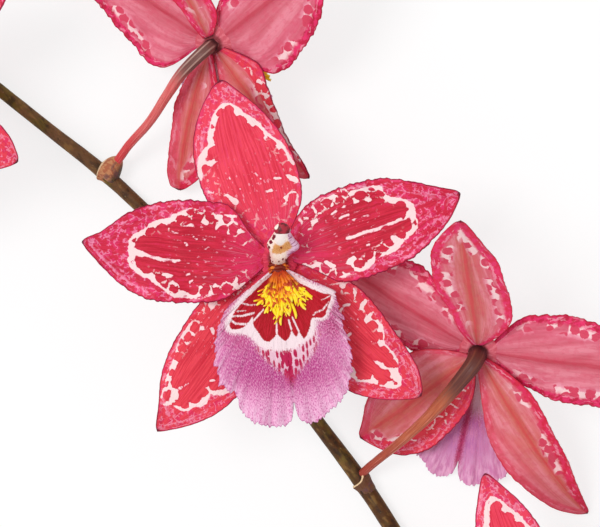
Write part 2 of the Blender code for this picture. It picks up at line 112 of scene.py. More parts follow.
FOURTH_FLOWER = {
    "dorsal_sepal": (71.5, 0, 36.1, -6, -4, -0.4, 0.3,
                     [1.3, 4.3, 4.8, 4.7, 5.2, 6.0, 6.0, 4.1, 0.7],
                     [1.3, 2.2, 2.8, 3.9, 4.9, 5.2, 4.4, 2.8, 0.6]),
    "left_petal": (146.9, 0, 34.9, -2, 4, 0.5, 0.5,
                   [2.6, 11.4, 13.8, 13.0, 11.5, 9.1, 5.2, 2.4, 0.6],
                   [1.3, 5.6, 7.0, 7.9, 8.5, 8.3, 7.1, 4.7, 0.7]),
    "right_petal": (35.9, 0, 39.1, 2, 2, 0.5, 0.5,
                    [1.3, 4.0, 6.5, 8.5, 9.5, 9.8, 8.5, 5.2, 0.6],
                    [1.3, 10.2, 12.8, 11.6, 9.7, 8.5, 7.0, 4.7, 0.8]),
    "left_sepal": (236.2, 8, 33.9, 0, 6, 0.3, 0.3,
                   [1.0, 2.8, 4.9, 5.8, 6.0, 5.9, 5.2, 3.9, 1.0],
                   [2.0, 4.2, 5.9, 4.6, 2.8, 1.6, 1.0, 0.8, 0.5]),
    "right_sepal": (298.2, -18, 32.7, -1, -2, -0.3, 0.3,
                    [1.0, 2.0, 2.9, 3.7, 3.8, 3.4, 3.2, 3.2, 2.0],
                    [1.0, 2.8, 4.8, 6.0, 6.8, 6.9, 6.3, 4.2, 0.8]),
}
print("lengths in mm:", {part: spec[2] for part, spec in FIRST_FLOWER.items()})

# %% [markdown]
# ## Where the flowers stand
# Three flowers look up from the table and two are seen from behind. Each has a centre, a
# lean away from facing straight up, the azimuth of that lean, a turn about its own axis
# and a size. Where they aren't as usual, the lip's turn, the column's arch and the girth
# of the ovary are given too, and so are the sepals whose back shows the face's pattern
# along one margin, where the real margin is rolled over. The pedicel leaves its node of
# the stem in a given direction and passes the points of its way. The node's sheath has a
# hip, how far ahead of the node it ends, and how its rim tilts and slants. A few stray
# fingers of one crest lie beside its petals.

# %% Numbers of the flowers and the stem
FLOWERS = [
    {"name": "flower_1", "tepals": FIRST_FLOWER, "centre": (-97.3, 12.4, 29.0),
     "lean": 4.0, "toward": 200.0, "turn": 1.5, "size": 1.0, "lip": 1.0, "node": -103.6,
     "leaves": (-84.0, 50.0), "way": [(-101.6, 20.5, 9.5), (-98.8, 15.0, 17.5)]},
    {"name": "flower_2", "tepals": SECOND_FLOWER, "centre": (-39.3, -16.93, 20.35),
     "lean": 150.0, "toward": -68.0, "turn": 0.0, "size": 1.0, "lip": 0.97, "lip_turn": 9.0,
     "rolled": ["right_sepal"], "node": -46.1,
     "leaves": (-85.0, 40.0),
     "way": [(-43.8, 8.3, 11.0), (-43.0, -1.0, 17.8), (-41.6, -8.5, 22.6)]},
    {"name": "flower_3", "tepals": FRONT_FLOWER, "centre": (3.89, 2.83, 29.0),
     "lean": 0.0, "toward": 0.0, "turn": 0.0, "size": 1.0, "lip": 1.0, "node": 5.9,
     "leaves": (-95.0, 50.0), "way": [(7.0, 11.0, 9.5), (5.2, 5.6, 17.5)]},
    {"name": "flower_4", "tepals": FOURTH_FLOWER, "centre": (48.39, -15.78, 16.2),
     "lean": 152.0, "toward": -85.0, "turn": 0.0, "size": 1.0, "lip": 0.78, "arch": 0.45,
     "ovary": 0.68, "hip": 3.9, "ahead": 1.5, "tilt": 0.0, "slant": 0.7, "foot": 0.4,
     "rolled": ["left_sepal"],
     "stray": [[(-6.4, -6.8, 6.8), (-7.9, -8.2, 7.3), (-8.9, -8.8, 7.4)],
               [(-6.7, -7.4, 6.6), (-8.3, -8.9, 7.2), (-9.5, -9.5, 7.4)],
               [(-6.9, -8.2, 6.4), (-8.4, -9.5, 7.0), (-9.7, -10.3, 7.3)]],
     "node": 42.4, "leaves": (-88.0, 38.0),
     "way": [(43.9, 12.2, 6.9), (44.7, 5.2, 10.8), (46.3, -0.9, 14.6), (47.8, -7.0, 17.8)]},
    {"name": "flower_5", "tepals": FRONT_FLOWER, "centre": (92.5, 42.6, 25.0),
     "lean": 12.0, "toward": 50.0, "turn": 10.0, "size": 0.93, "lip": 1.0, "node": 81.0,
     "leaves": (92.0, 45.0), "way": [(84.8, 35.0, 8.6), (89.0, 39.8, 14.8)]},
]
# Places on the stem's axis over the table, and its radius there.
STEM_PATH = [
    (-149.5, 31.4, 1.75), (-126.6, 30.2, 1.75), (-103.6, 28.6, 1.88), (-75.0, 24.6, 1.70),
    (-46.1, 20.6, 1.82), (-29.3, 19.6, 1.62), (5.9, 17.5, 1.68), (32.5, 18.9, 1.50),
    (43.2, 20.3, 1.58), (57.8, 23.3, 1.38), (81.3, 28.2, 1.38), (87.0, 29.5, 1.05),
    (90.0, 30.0, 0.60),
]
STEM_HEIGHT = 1.88
PEDICEL_SEAT = -0.2  # from the stem's skin to the pedicel's first point
print("flowers:", [flower["name"] for flower in FLOWERS])

# %% [markdown]
# ## Curves and directions
# A petal's outline, a stalk's way and a lip's edge are all smooth curves through a few
# known points. One small reader of such curves, with no library behind it, serves them
# all. The other helpers turn angles into directions and put a flower in its place.

# %% Helpers for curves and places
def smooth(xs, ys, x):
    """Read at x a smooth curve that passes through the points (xs, ys)."""
    xs = np.asarray(xs, float)
    ys = np.asarray(ys, float)
    x = np.asarray(x, float)
    slope = np.gradient(ys, xs, axis=0)
    i = np.clip(np.searchsorted(xs, x) - 1, 0, len(xs) - 2)
    h = xs[i + 1] - xs[i]
    s = (x - xs[i]) / h
    if ys.ndim == 2:
        h = h[:, None]
        s = s[:, None]
    start = (1 + 2 * s) * (1 - s) ** 2 * ys[i] + s * (1 - s) ** 2 * h * slope[i]
    return start + s * s * (3 - 2 * s) * ys[i + 1] + s * s * (s - 1) * h * slope[i + 1]


def unit(v):
    """The same vectors at length one."""
    return v / np.maximum(np.linalg.norm(v, axis=-1, keepdims=True), 1e-9)


def direction(azimuth, elevation):
    """Unit vector from two angles in degrees."""
    a = math.radians(azimuth)
    e = math.radians(elevation)
    return np.array([math.cos(e) * math.cos(a), math.cos(e) * math.sin(a), math.sin(e)])


def along(points, count):
    """Spread count points evenly over a smooth curve through the given points."""
    points = np.asarray(points, float)
    chord = np.linalg.norm(np.diff(points, axis=0), axis=1)
    reach = np.concatenate([[0], np.cumsum(chord)])
    fine = smooth(reach, points, np.linspace(0, reach[-1], 400))
    walked = np.concatenate([[0], np.cumsum(np.linalg.norm(np.diff(fine, axis=0), axis=1))])
    at = np.linspace(0, walked[-1], count)
    return np.stack([np.interp(at, walked, fine[:, k]) for k in range(3)], axis=1)


def flower_axes(flower):
    """Right, up and facing directions of a flower, in columns."""
    facing = direction(flower["toward"], 90 - flower["lean"])
    up = direction(UP, 0)
    up = unit(up - facing * (up @ facing))
    return np.stack([np.cross(up, facing), up, facing], axis=1)


def place(flower, points):
    """Points from a flower's own axes to the spray, in millimetres."""
    return np.array(flower["centre"]) + flower["size"] * (points @ flower_axes(flower).T)


def turned(flower, points, more=0.0):
    """Points turned about the flower's own axis by its turn and some degrees more."""
    a = math.radians(flower["turn"] + more)
    spin = np.array([[math.cos(a), math.sin(a), 0], [-math.sin(a), math.cos(a), 0], [0, 0, 1]])
    return points @ spin


def on_stem(x):
    """Point on the stem's axis, its direction and radius, where the stem passes x."""
    path = np.array(STEM_PATH)
    y = smooth(path[:, 0], path[:, 1], [x - 0.5, x, x + 0.5])
    radius = float(np.interp(x, path[:, 0], path[:, 2]))
    return np.array([x, y[1], STEM_HEIGHT]), unit(np.array([1.0, y[2] - y[0], 0.0])), radius


print("the stem's radius in mm where it passes x = 0:", round(on_stem(0.0)[2], 2))

# %% [markdown]
# ## From points to a piece
# Every piece becomes a closed mesh in metres whose object sits at the origin. Patterns
# that follow a petal need to know where on the petal they are, so a piece may carry named
# values on its points, such as the distance to its edge. The finish reads them later.

# %% Helpers that make and register a piece
def new_mesh(name, vertices, faces, values):
    """An object from points in millimetres, with named values on its points."""
    mesh = bpy.data.meshes.new(name)
    moved = (vertices - np.array([*CENTRE, 0.0])) * MM
    mesh.from_pydata(moved.tolist(), [], faces)
    mesh.polygons.foreach_set("use_smooth", np.ones(len(faces), bool))
    for key, data in values.items():
        kind, slot = ("FLOAT_VECTOR", "vector") if np.ndim(data) == 2 else ("FLOAT", "value")
        mesh.attributes.new(key, kind, "POINT").data.foreach_set(
            slot, np.asarray(data, np.float32).ravel())
    made = bpy.data.objects.new(name, mesh)
    bpy.context.scene.collection.objects.link(made)
    return made


def register(piece, finish, node):
    """The piece takes its finish, rides on the one body and stands for its CAD node."""
    if finish and not piece.data.materials:
        piece.data.materials.append(finish)
    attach(piece, "root")
    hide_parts(node)
    low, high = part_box(node)
    points = np.array([v.co for v in piece.data.vertices])
    over = max(np.max(np.array(low) - points.min(0)), np.max(points.max(0) - np.array(high)))
    print(f"{piece.name}: {len(piece.data.polygons)} faces, {1000 * over:+.2f} mm past its solid")


def sheet(points, thickness):
    """Vertices and faces of a closed sheet around a grid of points."""
    rows, columns, _ = points.shape
    normal = unit(np.cross(np.gradient(points, axis=0), np.gradient(points, axis=1)))
    half = (normal * (np.broadcast_to(thickness, (rows, columns)) / 2)[..., None])
    front = (points + half).reshape(-1, 3)
    back = (points - half).reshape(-1, 3)
    index = np.arange(rows * columns).reshape(rows, columns)
    a, b, c, d = index[:-1, :-1], index[1:, :-1], index[1:, 1:], index[:-1, 1:]
    top = np.stack([a, b, c, d], axis=-1).reshape(-1, 4)
    rim = np.concatenate([index[:-1, 0], index[-1, :-1], index[:0:-1, -1], index[0, :0:-1]])
    after = np.roll(rim, -1)
    count = rows * columns
    wall = np.stack([after, rim, rim + count, after + count], axis=1)
    faces = np.concatenate([top, top[:, ::-1] + count, wall])
    return np.vstack([front, back]), faces.tolist()


# %% [markdown]
# ## The markings of a petal
# The face of each petal and sepal has a pale band that runs round it inside its edge,
# with short spurs, dashes and spots. It could be left to a random texture, but then the
# band would not close round the tip. So the band's main lines are given as strokes on
# the petal: a half-width in millimetres, then hundredths along it and across it.
# The finish roughens them later with round blotches and noise.

# %% Numbers of the markings
ZONES = {
    "dorsal_sepal": [14, 25, 24, 56, 40, 82, 49, 86, 58, 90, 63, 80, 66, 61, 71, 63, 80, 52, 84, 36,
        86, 16, 85, -5, 82, -22, 74, -47, 66, -61, 60, -70, 56, -83, 47, -88, 40, -93, 33, -93, 25,
        -87, 17, -72, 10, -57],
    "left_petal": [6, -68, 16, -74, 25, -76, 36, -79, 44, -82, 48, -72, 57, -58, 64, -51, 68, -36,
        74, -14, 74, 12, 73, 36, 69, 51, 62, 56, 57, 67, 51, 81, 46, 87, 38, 89, 30, 83, 22, 85, 14,
        98, 6, 84],
    "right_petal": [8, 8, 14, 72, 21, 89, 28, 89, 38, 92, 45, 85, 56, 80, 60, 68, 63, 45, 70, 32,
        73, -3, 72, -38, 66, -50, 59, -61, 49, -65, 42, -73, 35, -81, 29, -79, 22, -89, 15, -100, 9,
        -100, 4, -100],
    "left_sepal": [14, -37, 24, -70, 34, -89, 41, -91, 48, -89, 54, -89, 61, -82, 69, -75, 77, -72,
        84, -75, 86, -48, 84, 4, 83, 31, 79, 47, 74, 56, 69, 50, 66, 72, 61, 79, 46, 69, 22, 39],
    "right_sepal": [15, -3, 22, 71, 30, 86, 36, 86, 44, 87, 51, 79, 60, 76, 66, 39, 74, 39, 80, 24,
        84, -9, 87, -28, 82, -50, 76, -57, 70, -69, 60, -77, 44, -77, 17, -72],
}
MARKS = {
    "dorsal_sepal": [
        (0.55, [43, -92, 47, -88, 52, -86, 56, -83, 60, -70]),
        (0.6, [60, -70, 66, -61, 70, -60, 74, -47, 78, -32, 82, -22]),
        (0.45, [82, -22, 85, -5, 86, 16, 84, 36, 81, 49, 77, 55, 71, 63, 66, 61]),
        (0.55, [66, 61, 65, 71, 62, 84, 59, 89, 55, 92, 51, 96]), (0.3, [59, 89, 57, 73, 57, 54]),
        (0.3, [38, -46, 36, -66, 36, -79, 33, -93]),
        (0.3, [26, -42, 24, -53, 27, -71, 25, -87, 20, -90]), (0.35, [32, -19, 32, -33]),
        (0.3, [42, 90, 41, 86]), (0.3, [34, 82, 32, 84]), (0.35, [36, 62, 35, 54, 32, 49]),
        (0.2, [51, -9, 49, -13]), (0.25, [44, -8, 40, -16]), (0.25, [38, 30, 38, 31]),
        (0.2, [46, 41, 45, 42]), (0.2, [47, -34, 47, -35]),
    ],
    "left_petal": [
        (0.35, [38, -78, 40, -79, 44, -82, 46, -76]),
        (0.5, [46, -76, 48, -72, 52, -68, 53, -62, 57, -58, 60, -57, 64, -51, 66, -40]),
        (0.5, [66, -40, 68, -36, 72, -27, 74, -14, 74, 3, 74, 12, 73, 23, 74, 32, 72, 44, 69, 51,
               66, 56]),
        (0.5, [66, 56, 62, 56, 60, 63, 57, 67, 54, 74, 51, 81, 48, 87]),
        (0.35, [48, 87, 44, 87, 44, 75]), (0.35, [44, 87, 39, 89, 36, 85, 35, 73]),
        (0.3, [36, 85, 31, 83, 26, 82, 24, 78]),
        (0.4, [74, 10, 69, 13, 65, 15, 60, 19, 56, 22, 51, 22, 47, 21]), (0.2, [44, 22, 42, 23]),
        (0.4, [46, -52, 44, -51, 41, -47]), (0.3, [40, -77, 38, -66, 35, -57]),
        (0.25, [34, -73, 31, -76, 28, -71, 26, -64, 28, -52, 30, -45]),
        (0.25, [28, -71, 24, -78, 19, -91]), (0.25, [21, -81, 22, -63, 23, -44]),
        (0.2, [18, -60, 14, -79]), (0.25, [56, 52, 53, 49, 50, 50]), (0.25, [45, 49, 41, 44]),
        (0.25, [34, 51, 31, 47]), (0.3, [41, 60, 39, 56]), (0.3, [50, 65, 48, 70, 50, 78]),
        (0.3, [27, 67, 24, 65, 20, 66, 15, 65]), (0.2, [18, 68, 15, 99]), (0.2, [12, 91, 15, 100]),
        (0.2, [52, -35, 49, -34]), (0.2, [41, -28, 39, -24]), (0.2, [36, -27, 34, -22]),
        (0.3, [45, -15, 44, -11]), (0.2, [46, -30, 44, -31]), (0.15, [36, -9, 34, -6]),
        (0.15, [30, -5, 29, -1]), (0.15, [25, -31, 24, -30]), (0.15, [51, -15, 49, -12]),
        (0.15, [33, -12, 32, -11]),
    ],
    "right_petal": [
        (0.35, [42, 82, 45, 82, 48, 81, 52, 82, 56, 80]),
        (0.5, [56, 80, 60, 76, 60, 65, 61, 52, 63, 45, 68, 37]),
        (0.5, [68, 37, 71, 28, 73, 13, 73, -3, 72, -17, 72, -31, 71, -42, 69, -47, 66, -50]),
        (0.5, [66, -50, 62, -54, 59, -61, 57, -65, 52, -66, 49, -65, 45, -65, 42, -73]),
        (0.45, [42, -73, 40, -78, 35, -81, 32, -68, 31, -57, 34, -53]),
        (0.35, [32, -68, 30, -77, 26, -86, 22, -86, 18, -90, 15, -95]),
        (0.45, [56, -43, 60, -47, 60, -59]),
        (0.35, [34, -10, 38, -11, 44, -10, 50, -13, 56, -12, 62, -12, 67, -8, 72, -4]),
        (0.25, [13, 90, 14, 65, 18, 53, 22, 52]), (0.25, [17, 93, 18, 77]),
        (0.3, [21, 85, 24, 71, 26, 62]), (0.25, [27, 53, 26, 40]),
        (0.25, [28, 87, 33, 89, 37, 87, 38, 94]), (0.35, [36, 78, 39, 70, 40, 59, 37, 58]),
        (0.25, [28, 50, 31, 52, 34, 56, 37, 60]), (0.2, [29, 71, 32, 73]),
        (0.3, [34, 37, 36, 38, 39, 37]), (0.2, [42, 59, 46, 60]), (0.15, [42, 38, 47, 40, 51, 44]),
        (0.2, [40, 23, 46, 23, 50, 22]), (0.25, [51, 57, 52, 53]), (0.35, [35, -33, 37, -35]),
        (0.3, [42, -35, 44, -37]), (0.2, [51, -41, 51, -44]), (0.2, [29, 34, 28, 30]),
        (0.2, [32, 19, 32, 19]), (0.3, [11, -94, 14, -70]), (0.3, [19, -50, 20, -57, 22, -59]),
        (0.2, [7, -100, 9, -100, 11, -94]),
    ],
    "left_sepal": [
        (0.3, [41, -89, 41, -78, 36, -73]), (0.4, [36, -73, 33, -71, 31, -72]),
        (0.25, [47, -88, 50, -86, 52, -89]), (0.35, [52, -89, 55, -69, 52, -69, 49, -70]),
        (0.3, [54, -88, 58, -86, 61, -82, 64, -74]), (0.45, [64, -74, 67, -74, 70, -73]),
        (0.3, [70, -73, 74, -73]), (0.4, [74, -73, 77, -72, 78, -56, 77, -33, 75, -16, 72, -7]),
        (0.5, [77, -36, 80, -24, 83, -19, 84, 2]), (0.3, [84, -17, 86, -36, 87, -60]),
        (0.25, [80, -70, 82, -80, 85, -81]), (0.5, [84, 2, 84, 24, 82, 40, 79, 39]),
        (0.5, [79, 39, 77, 54, 74, 56, 70, 46]), (0.5, [79, 39, 77, 31]),
        (0.45, [70, 46, 68, 40, 68, 32]), (0.5, [68, 40, 66, 43, 64, 38]),
        (0.45, [69, 43, 68, 59]), (0.4, [68, 59, 66, 72, 63, 77]), (0.4, [47, -59, 45, -53]),
        (0.4, [43, -31, 44, -26]), (0.25, [43, -38, 41, -27]),
    ],
    "right_sepal": [
        (0.3, [29, 78, 31, 76]), (0.45, [35, 84, 37, 77, 38, 72]), (0.3, [45, 60, 44, 77, 44, 87]),
        (0.3, [46, 42, 48, 34]), (0.5, [52, 51, 52, 64, 52, 75]), (0.3, [53, 67, 56, 75]),
        (0.3, [59, 75, 61, 65]), (0.55, [61, 65, 64, 48, 66, 39]), (0.35, [64, 48, 61, 25]),
        (0.45, [66, 39, 70, 38, 74, 39, 78, 33, 80, 12, 82, -4]),
        (0.7, [82, -4, 85, -9, 87, -25, 85, -41]), (0.55, [85, -41, 82, -48, 78, -49, 76, -54]),
        (0.4, [76, -54, 73, -61, 70, -69, 67, -66, 64, -59]), (0.35, [76, -51, 75, -44]),
        (0.35, [66, -14, 70, -14, 74, -12]), (0.5, [74, -12, 78, -9, 83, -10]),
        (0.35, [50, -26, 50, -15, 50, -8]), (0.35, [39, 2, 38, 20, 37, 32, 39, 44]),
    ],
}
print("strokes on a flower's petals:", sum(len(strokes) for strokes in MARKS.values()))


# %% Helpers that measure distances to the markings
def stroke_distance(points, ends, half_width):
    """Distance from each point to a stroke's edge, negative on the stroke."""
    nearest = np.full(len(points), 99.0)
    for a, b in zip(ends[:-1], ends[1:]):
        ab = b - a
        share = np.clip((points - a) @ ab / max(ab @ ab, 1e-9), 0, 1)
        nearest = np.minimum(nearest, np.linalg.norm(points - a - share[:, None] * ab, axis=1))
    return nearest - half_width


def depth_inside(points, outline):
    """Distance from each point to a closed outline, positive inside it."""
    closed = np.vstack([outline, outline[:1]])
    odd = np.zeros(len(points), bool)
    for a, b in zip(closed[:-1], closed[1:]):
        crosses = (a[1] > points[:, 1]) != (b[1] > points[:, 1])
        rise = b[1] - a[1] if abs(b[1] - a[1]) > 1e-9 else 1e-9
        odd ^= crosses & (points[:, 0] < a[0] + (points[:, 1] - a[1]) / rise * (b[0] - a[0]))
    away = stroke_distance(points, closed, 0.0)
    return np.where(odd, away, -away)


square = np.array([[0.0, 0.0], [2.0, 0.0], [2.0, 2.0], [0.0, 2.0]])
print("depth in the middle of a 2 mm square:", depth_inside(np.ones((1, 2)), square))

# %% [markdown]
# ## Sepals and petals
# A petal is a thin living sheet: thickest in the middle, ending in a fine edge that is
# crinkled, with a groove down its face and a low keel down its back. The sheet is a grid
# over the midline, and the two faces are offset from it. A grid in code follows the
# solid's numbers exactly, which a sculpted or simulated sheet would not.

# %% The midline of a petal
ROWS = 96
COLUMNS = 49


def midline(azimuth, bend, length, tilt, curl, layer, u):
    """Points, side directions and face normals along a petal's midline."""
    fine = np.linspace(0, 1, 121)
    turn = np.radians(azimuth + bend * fine)
    rise = np.radians(tilt + curl * fine)
    flat = np.cos(rise)
    step = np.stack([flat * np.cos(turn), flat * np.sin(turn), np.sin(rise)], axis=1)
    walk = np.cumsum((step[1:] + step[:-1]) / 2, axis=0) * length / 120
    start = CLAW_START * direction(azimuth, 0) + np.array([0, 0, layer])
    points = start + np.vstack([np.zeros(3), walk])
    side = np.stack([-np.sin(turn), np.cos(turn), 0 * turn], axis=1)
    table = np.hstack([points, side, np.cross(step, side)])
    read = np.stack([np.interp(u, fine, column) for column in table.T], axis=1)
    return read[:, :3], unit(read[:, 3:6]), unit(read[:, 6:])


print("steps along a petal and across it:", ROWS, COLUMNS)

# %% [markdown]
# A real petal is never quite regular. Sums of a few sine waves, whose phases come from
# a fixed seed, make its outline uneven, crinkle its margin and let its face roll a
# little. The seed gives the same petal on every run.

# %% Helpers for a petal's outline and surface
TIP = 0.028  # share of the length over which the tip rounds off
CRINKLE = {"petal": 0.16, "sepal": 0.07}  # height of the small waves of the edge
GROOVE = (0.16, 0.6)  # depth and half-width
ROLLING = 0.12  # height of the broad waves of the face


def ripple(x, seed, waves):
    """A sum of a few sine waves of about unit height, of the given wavelengths."""
    draw = np.random.default_rng(seed)
    total = 0.0
    for wave in waves:
        total = total + np.sin(2 * np.pi * (x / wave + draw.random())) / len(waves) ** 0.5
    return total


def petal_widths(spec, u, v, seed, crinkle):
    """Half-width in mm at each u and v, with a rounded tip and a slightly uneven edge."""
    left = smooth(STATIONS, spec[7], u)
    right = smooth(STATIONS, spec[8], u)
    tip = np.sqrt(np.clip(1 - (np.clip(u - (1 - TIP), 0, 1) / TIP) ** 2, 0.004, 1))
    widths = []
    for side, width in enumerate([right, left]):
        uneven = crinkle * ripple(u * spec[2], seed + side, [1.3, 2.1, 3.4]) * np.sin(np.pi * u)
        widths.append((width + uneven) * tip)
    return np.where(v > 0, widths[1][:, None], widths[0][:, None])


def petal_grid(spec, layer, turn, phase, seed, crinkle):
    """Middle surface of a petal, and where each of its points is on the flat petal."""
    azimuth, bend, length, tilt, curl, cup, wave = spec[:7]
    u = np.linspace(0, 1, ROWS)
    v = np.linspace(-1, 1, COLUMNS)[None, :]
    v = np.sign(v) * np.abs(v) ** 0.9
    points, side, normal = midline(azimuth + turn, bend, length, tilt, curl, layer, u)
    widths = petal_widths(spec, u, v, seed, crinkle)
    swell = np.sin(np.pi * u)[:, None] ** 0.8
    beat = 2 * np.pi * (3 * u[:, None] + 0.37 * (v < 0)) + phase
    frill = wave * smooth([0, 0.3, 1], [0, 1, 0.7], u)[:, None] * np.sin(beat)
    lift = cup * swell * v**2 + frill * np.abs(v) ** 2.5
    across = widths * v
    run = length * u[:, None] + 0 * v
    edge_wave = ripple(run + 3 * np.sign(v), seed + 7, [2.6, 3.9, 5.7])
    lift = lift + 1.6 * crinkle * edge_wave * np.abs(v) ** 6 * swell
    lift = lift + ROLLING * ripple(run + 0.6 * across, seed + 9, [7.0, 11.0, 17.0]) * swell
    lift = lift - GROOVE[0] * np.exp(-((across / GROOVE[1]) ** 2)) * swell
    grid = points[:, None] + side[:, None] * across[..., None] + normal[:, None] * lift[..., None]
    edge = np.minimum((1 - np.abs(v)) * widths, (1 - u[:, None]) * length + 0.1)
    return grid, across, run, edge, u[:, None] + 0 * v, v + 0 * widths


print("first steps of a ripple:", ripple(np.arange(3.0), 1, [1.3, 2.1, 3.4]).round(2))

# %% [markdown]
# The strokes are given in shares of the petal, so they are first laid out flat in
# millimetres. Every point of the mesh then stores how far it is from the nearest
# stroke, from the inner zone's outline and from the petal's edge, and which face it is
# on.

# %% Helpers that mark and make a petal
PETAL_EDGE = 0.26  # thickness at its edge
PETAL_BELLY = 0.4  # how much thicker it is in its middle
PETAL_KEEL = (0.22, 0.7)  # height and half-width
ROLL = (-0.55, -0.35)  # shares of the half-width between which the back of a rolled sepal takes the face's pattern
print("a petal's thickness in mm:", PETAL_EDGE, "to", PETAL_EDGE + PETAL_BELLY)


def marks_on_flat(spec, part):
    """The strokes and the inner zone's outline on the flat petal, in millimetres."""
    def flat(numbers):
        pairs = np.array(numbers, float).reshape(-1, 2) / 100
        left = smooth(STATIONS, spec[7], pairs[:, 0])
        right = smooth(STATIONS, spec[8], pairs[:, 0])
        across = pairs[:, 1] * np.where(pairs[:, 1] > 0, left, right)
        return np.stack([across, pairs[:, 0] * spec[2]], axis=1)
    return [(half, flat(numbers)) for half, numbers in MARKS[part]], flat(ZONES[part])


def add_petal(flower, number, k, part, spec, finish):
    """One sepal or petal, with the values that its finish reads."""
    kind = "petal" if part.endswith("petal") else "sepal"
    seed = 20 * number + k
    phase = 1.9 * k + 0.7 * number
    grid, across, run, edge, u, v = petal_grid(
        spec, LAYER[kind], flower["turn"], phase, seed, CRINKLE[kind])
    belly = np.sin(np.pi * np.clip(u + 0.08, 0, 1)) ** 0.3
    thickness = PETAL_EDGE + PETAL_BELLY * (1 - np.abs(v) ** 3) * belly
    vertices, faces = sheet(grid, thickness)
    keel = np.exp(-((across / PETAL_KEEL[1]) ** 2)) * np.sin(np.pi * u) ** 0.5
    normal = unit(np.cross(np.gradient(grid, axis=0), np.gradient(grid, axis=1)))
    vertices[grid[..., 0].size:] -= (PETAL_KEEL[0] * keel[..., None] * normal).reshape(-1, 3)
    flat = np.stack([across.ravel(), run.ravel()], axis=1)
    strokes, zone = marks_on_flat(spec, part)
    mark = np.min([stroke_distance(flat, ends, half) for half, ends in strokes], axis=0)
    inner = depth_inside(flat, zone)
    shift = np.array([53.0, 31.0]) * seed
    face = np.ones(len(flat))
    rolled = 0
    if part in flower.get("rolled", ()):
        rolled = np.interp(v.ravel(), ROLL, [1, 0])
    values = {
        "flat": np.tile(np.column_stack([flat + shift, 0 * face]), (2, 1)),
        "place": np.vstack([np.column_stack([v.ravel(), u.ravel(), face]),
                            np.column_stack([v.ravel(), u.ravel(), 2 * rolled - face])]),
        "depths": np.tile(np.column_stack([edge.ravel(), mark, inner]), (2, 1)),
    }
    node = f"{flower['name']}_{part}"
    piece = new_mesh(f"{node}_fine", place(flower, vertices), faces, values)
    register(piece, finish, node)


# %% [markdown]
# ## Shader maths as expressions
# A finish is a tree of nodes. Adding each Math node by hand hides the idea, so a wire, the
# output of one node, is wrapped in a small class: adding two wires adds the Math node
# that does it. Colours are mixed by Mix nodes, because a Math node would turn them grey.

# %% Wires
def rgb(red, green, blue):
    """A colour given as it shows on a screen, 0 to 255, in the renderer's linear values."""
    return tuple(c / 12.92 if c <= 0.04045 else ((c + 0.055) / 1.055) ** 2.4
                 for c in (red / 255, green / 255, blue / 255))


class Wire:
    """A number that flows through a finish. Arithmetic on it adds Math nodes."""

    def __init__(self, finish, socket):
        self.finish = finish
        self.socket = socket

    def math(self, operation, *values):
        """Add a Math node for the operation."""
        return self.finish.node("ShaderNodeMath", {"operation": operation}, dict(enumerate(values)))

    def __add__(self, other):
        return self.math("ADD", self, other)

    __radd__ = __add__

    def __sub__(self, other):
        return self.math("SUBTRACT", self, other)

    def __rsub__(self, other):
        return self.math("SUBTRACT", other, self)

    def __mul__(self, other):
        return self.math("MULTIPLY", self, other)

    __rmul__ = __mul__

    def __pow__(self, other):
        return self.math("POWER", self, other)

    def __mod__(self, other):
        return self.math("FLOORED_MODULO", self, other)

    def __abs__(self):
        return self.math("ABSOLUTE", self)

    def least(self, other):
        """The smaller of the two."""
        return self.math("MINIMUM", self, other)

    def most(self, other):
        """The larger of the two."""
        return self.math("MAXIMUM", self, other)

    def ease(self, start, end):
        """0 at start and 1 at end, smooth between; start may be the larger."""
        return self.finish.node("ShaderNodeMapRange", {"interpolation_type": "SMOOTHSTEP"},
                                {"Value": self, "From Min": start, "From Max": end})


print("a screen colour in linear values:", [round(c, 3) for c in rgb(210, 35, 60)])

# %% [markdown]
# A finish keeps one material and its tree. One method adds any node: its settings come
# first, then its sockets, each filled with a value or a wire. The short methods after
# it name the nodes that the finishes use again and again.

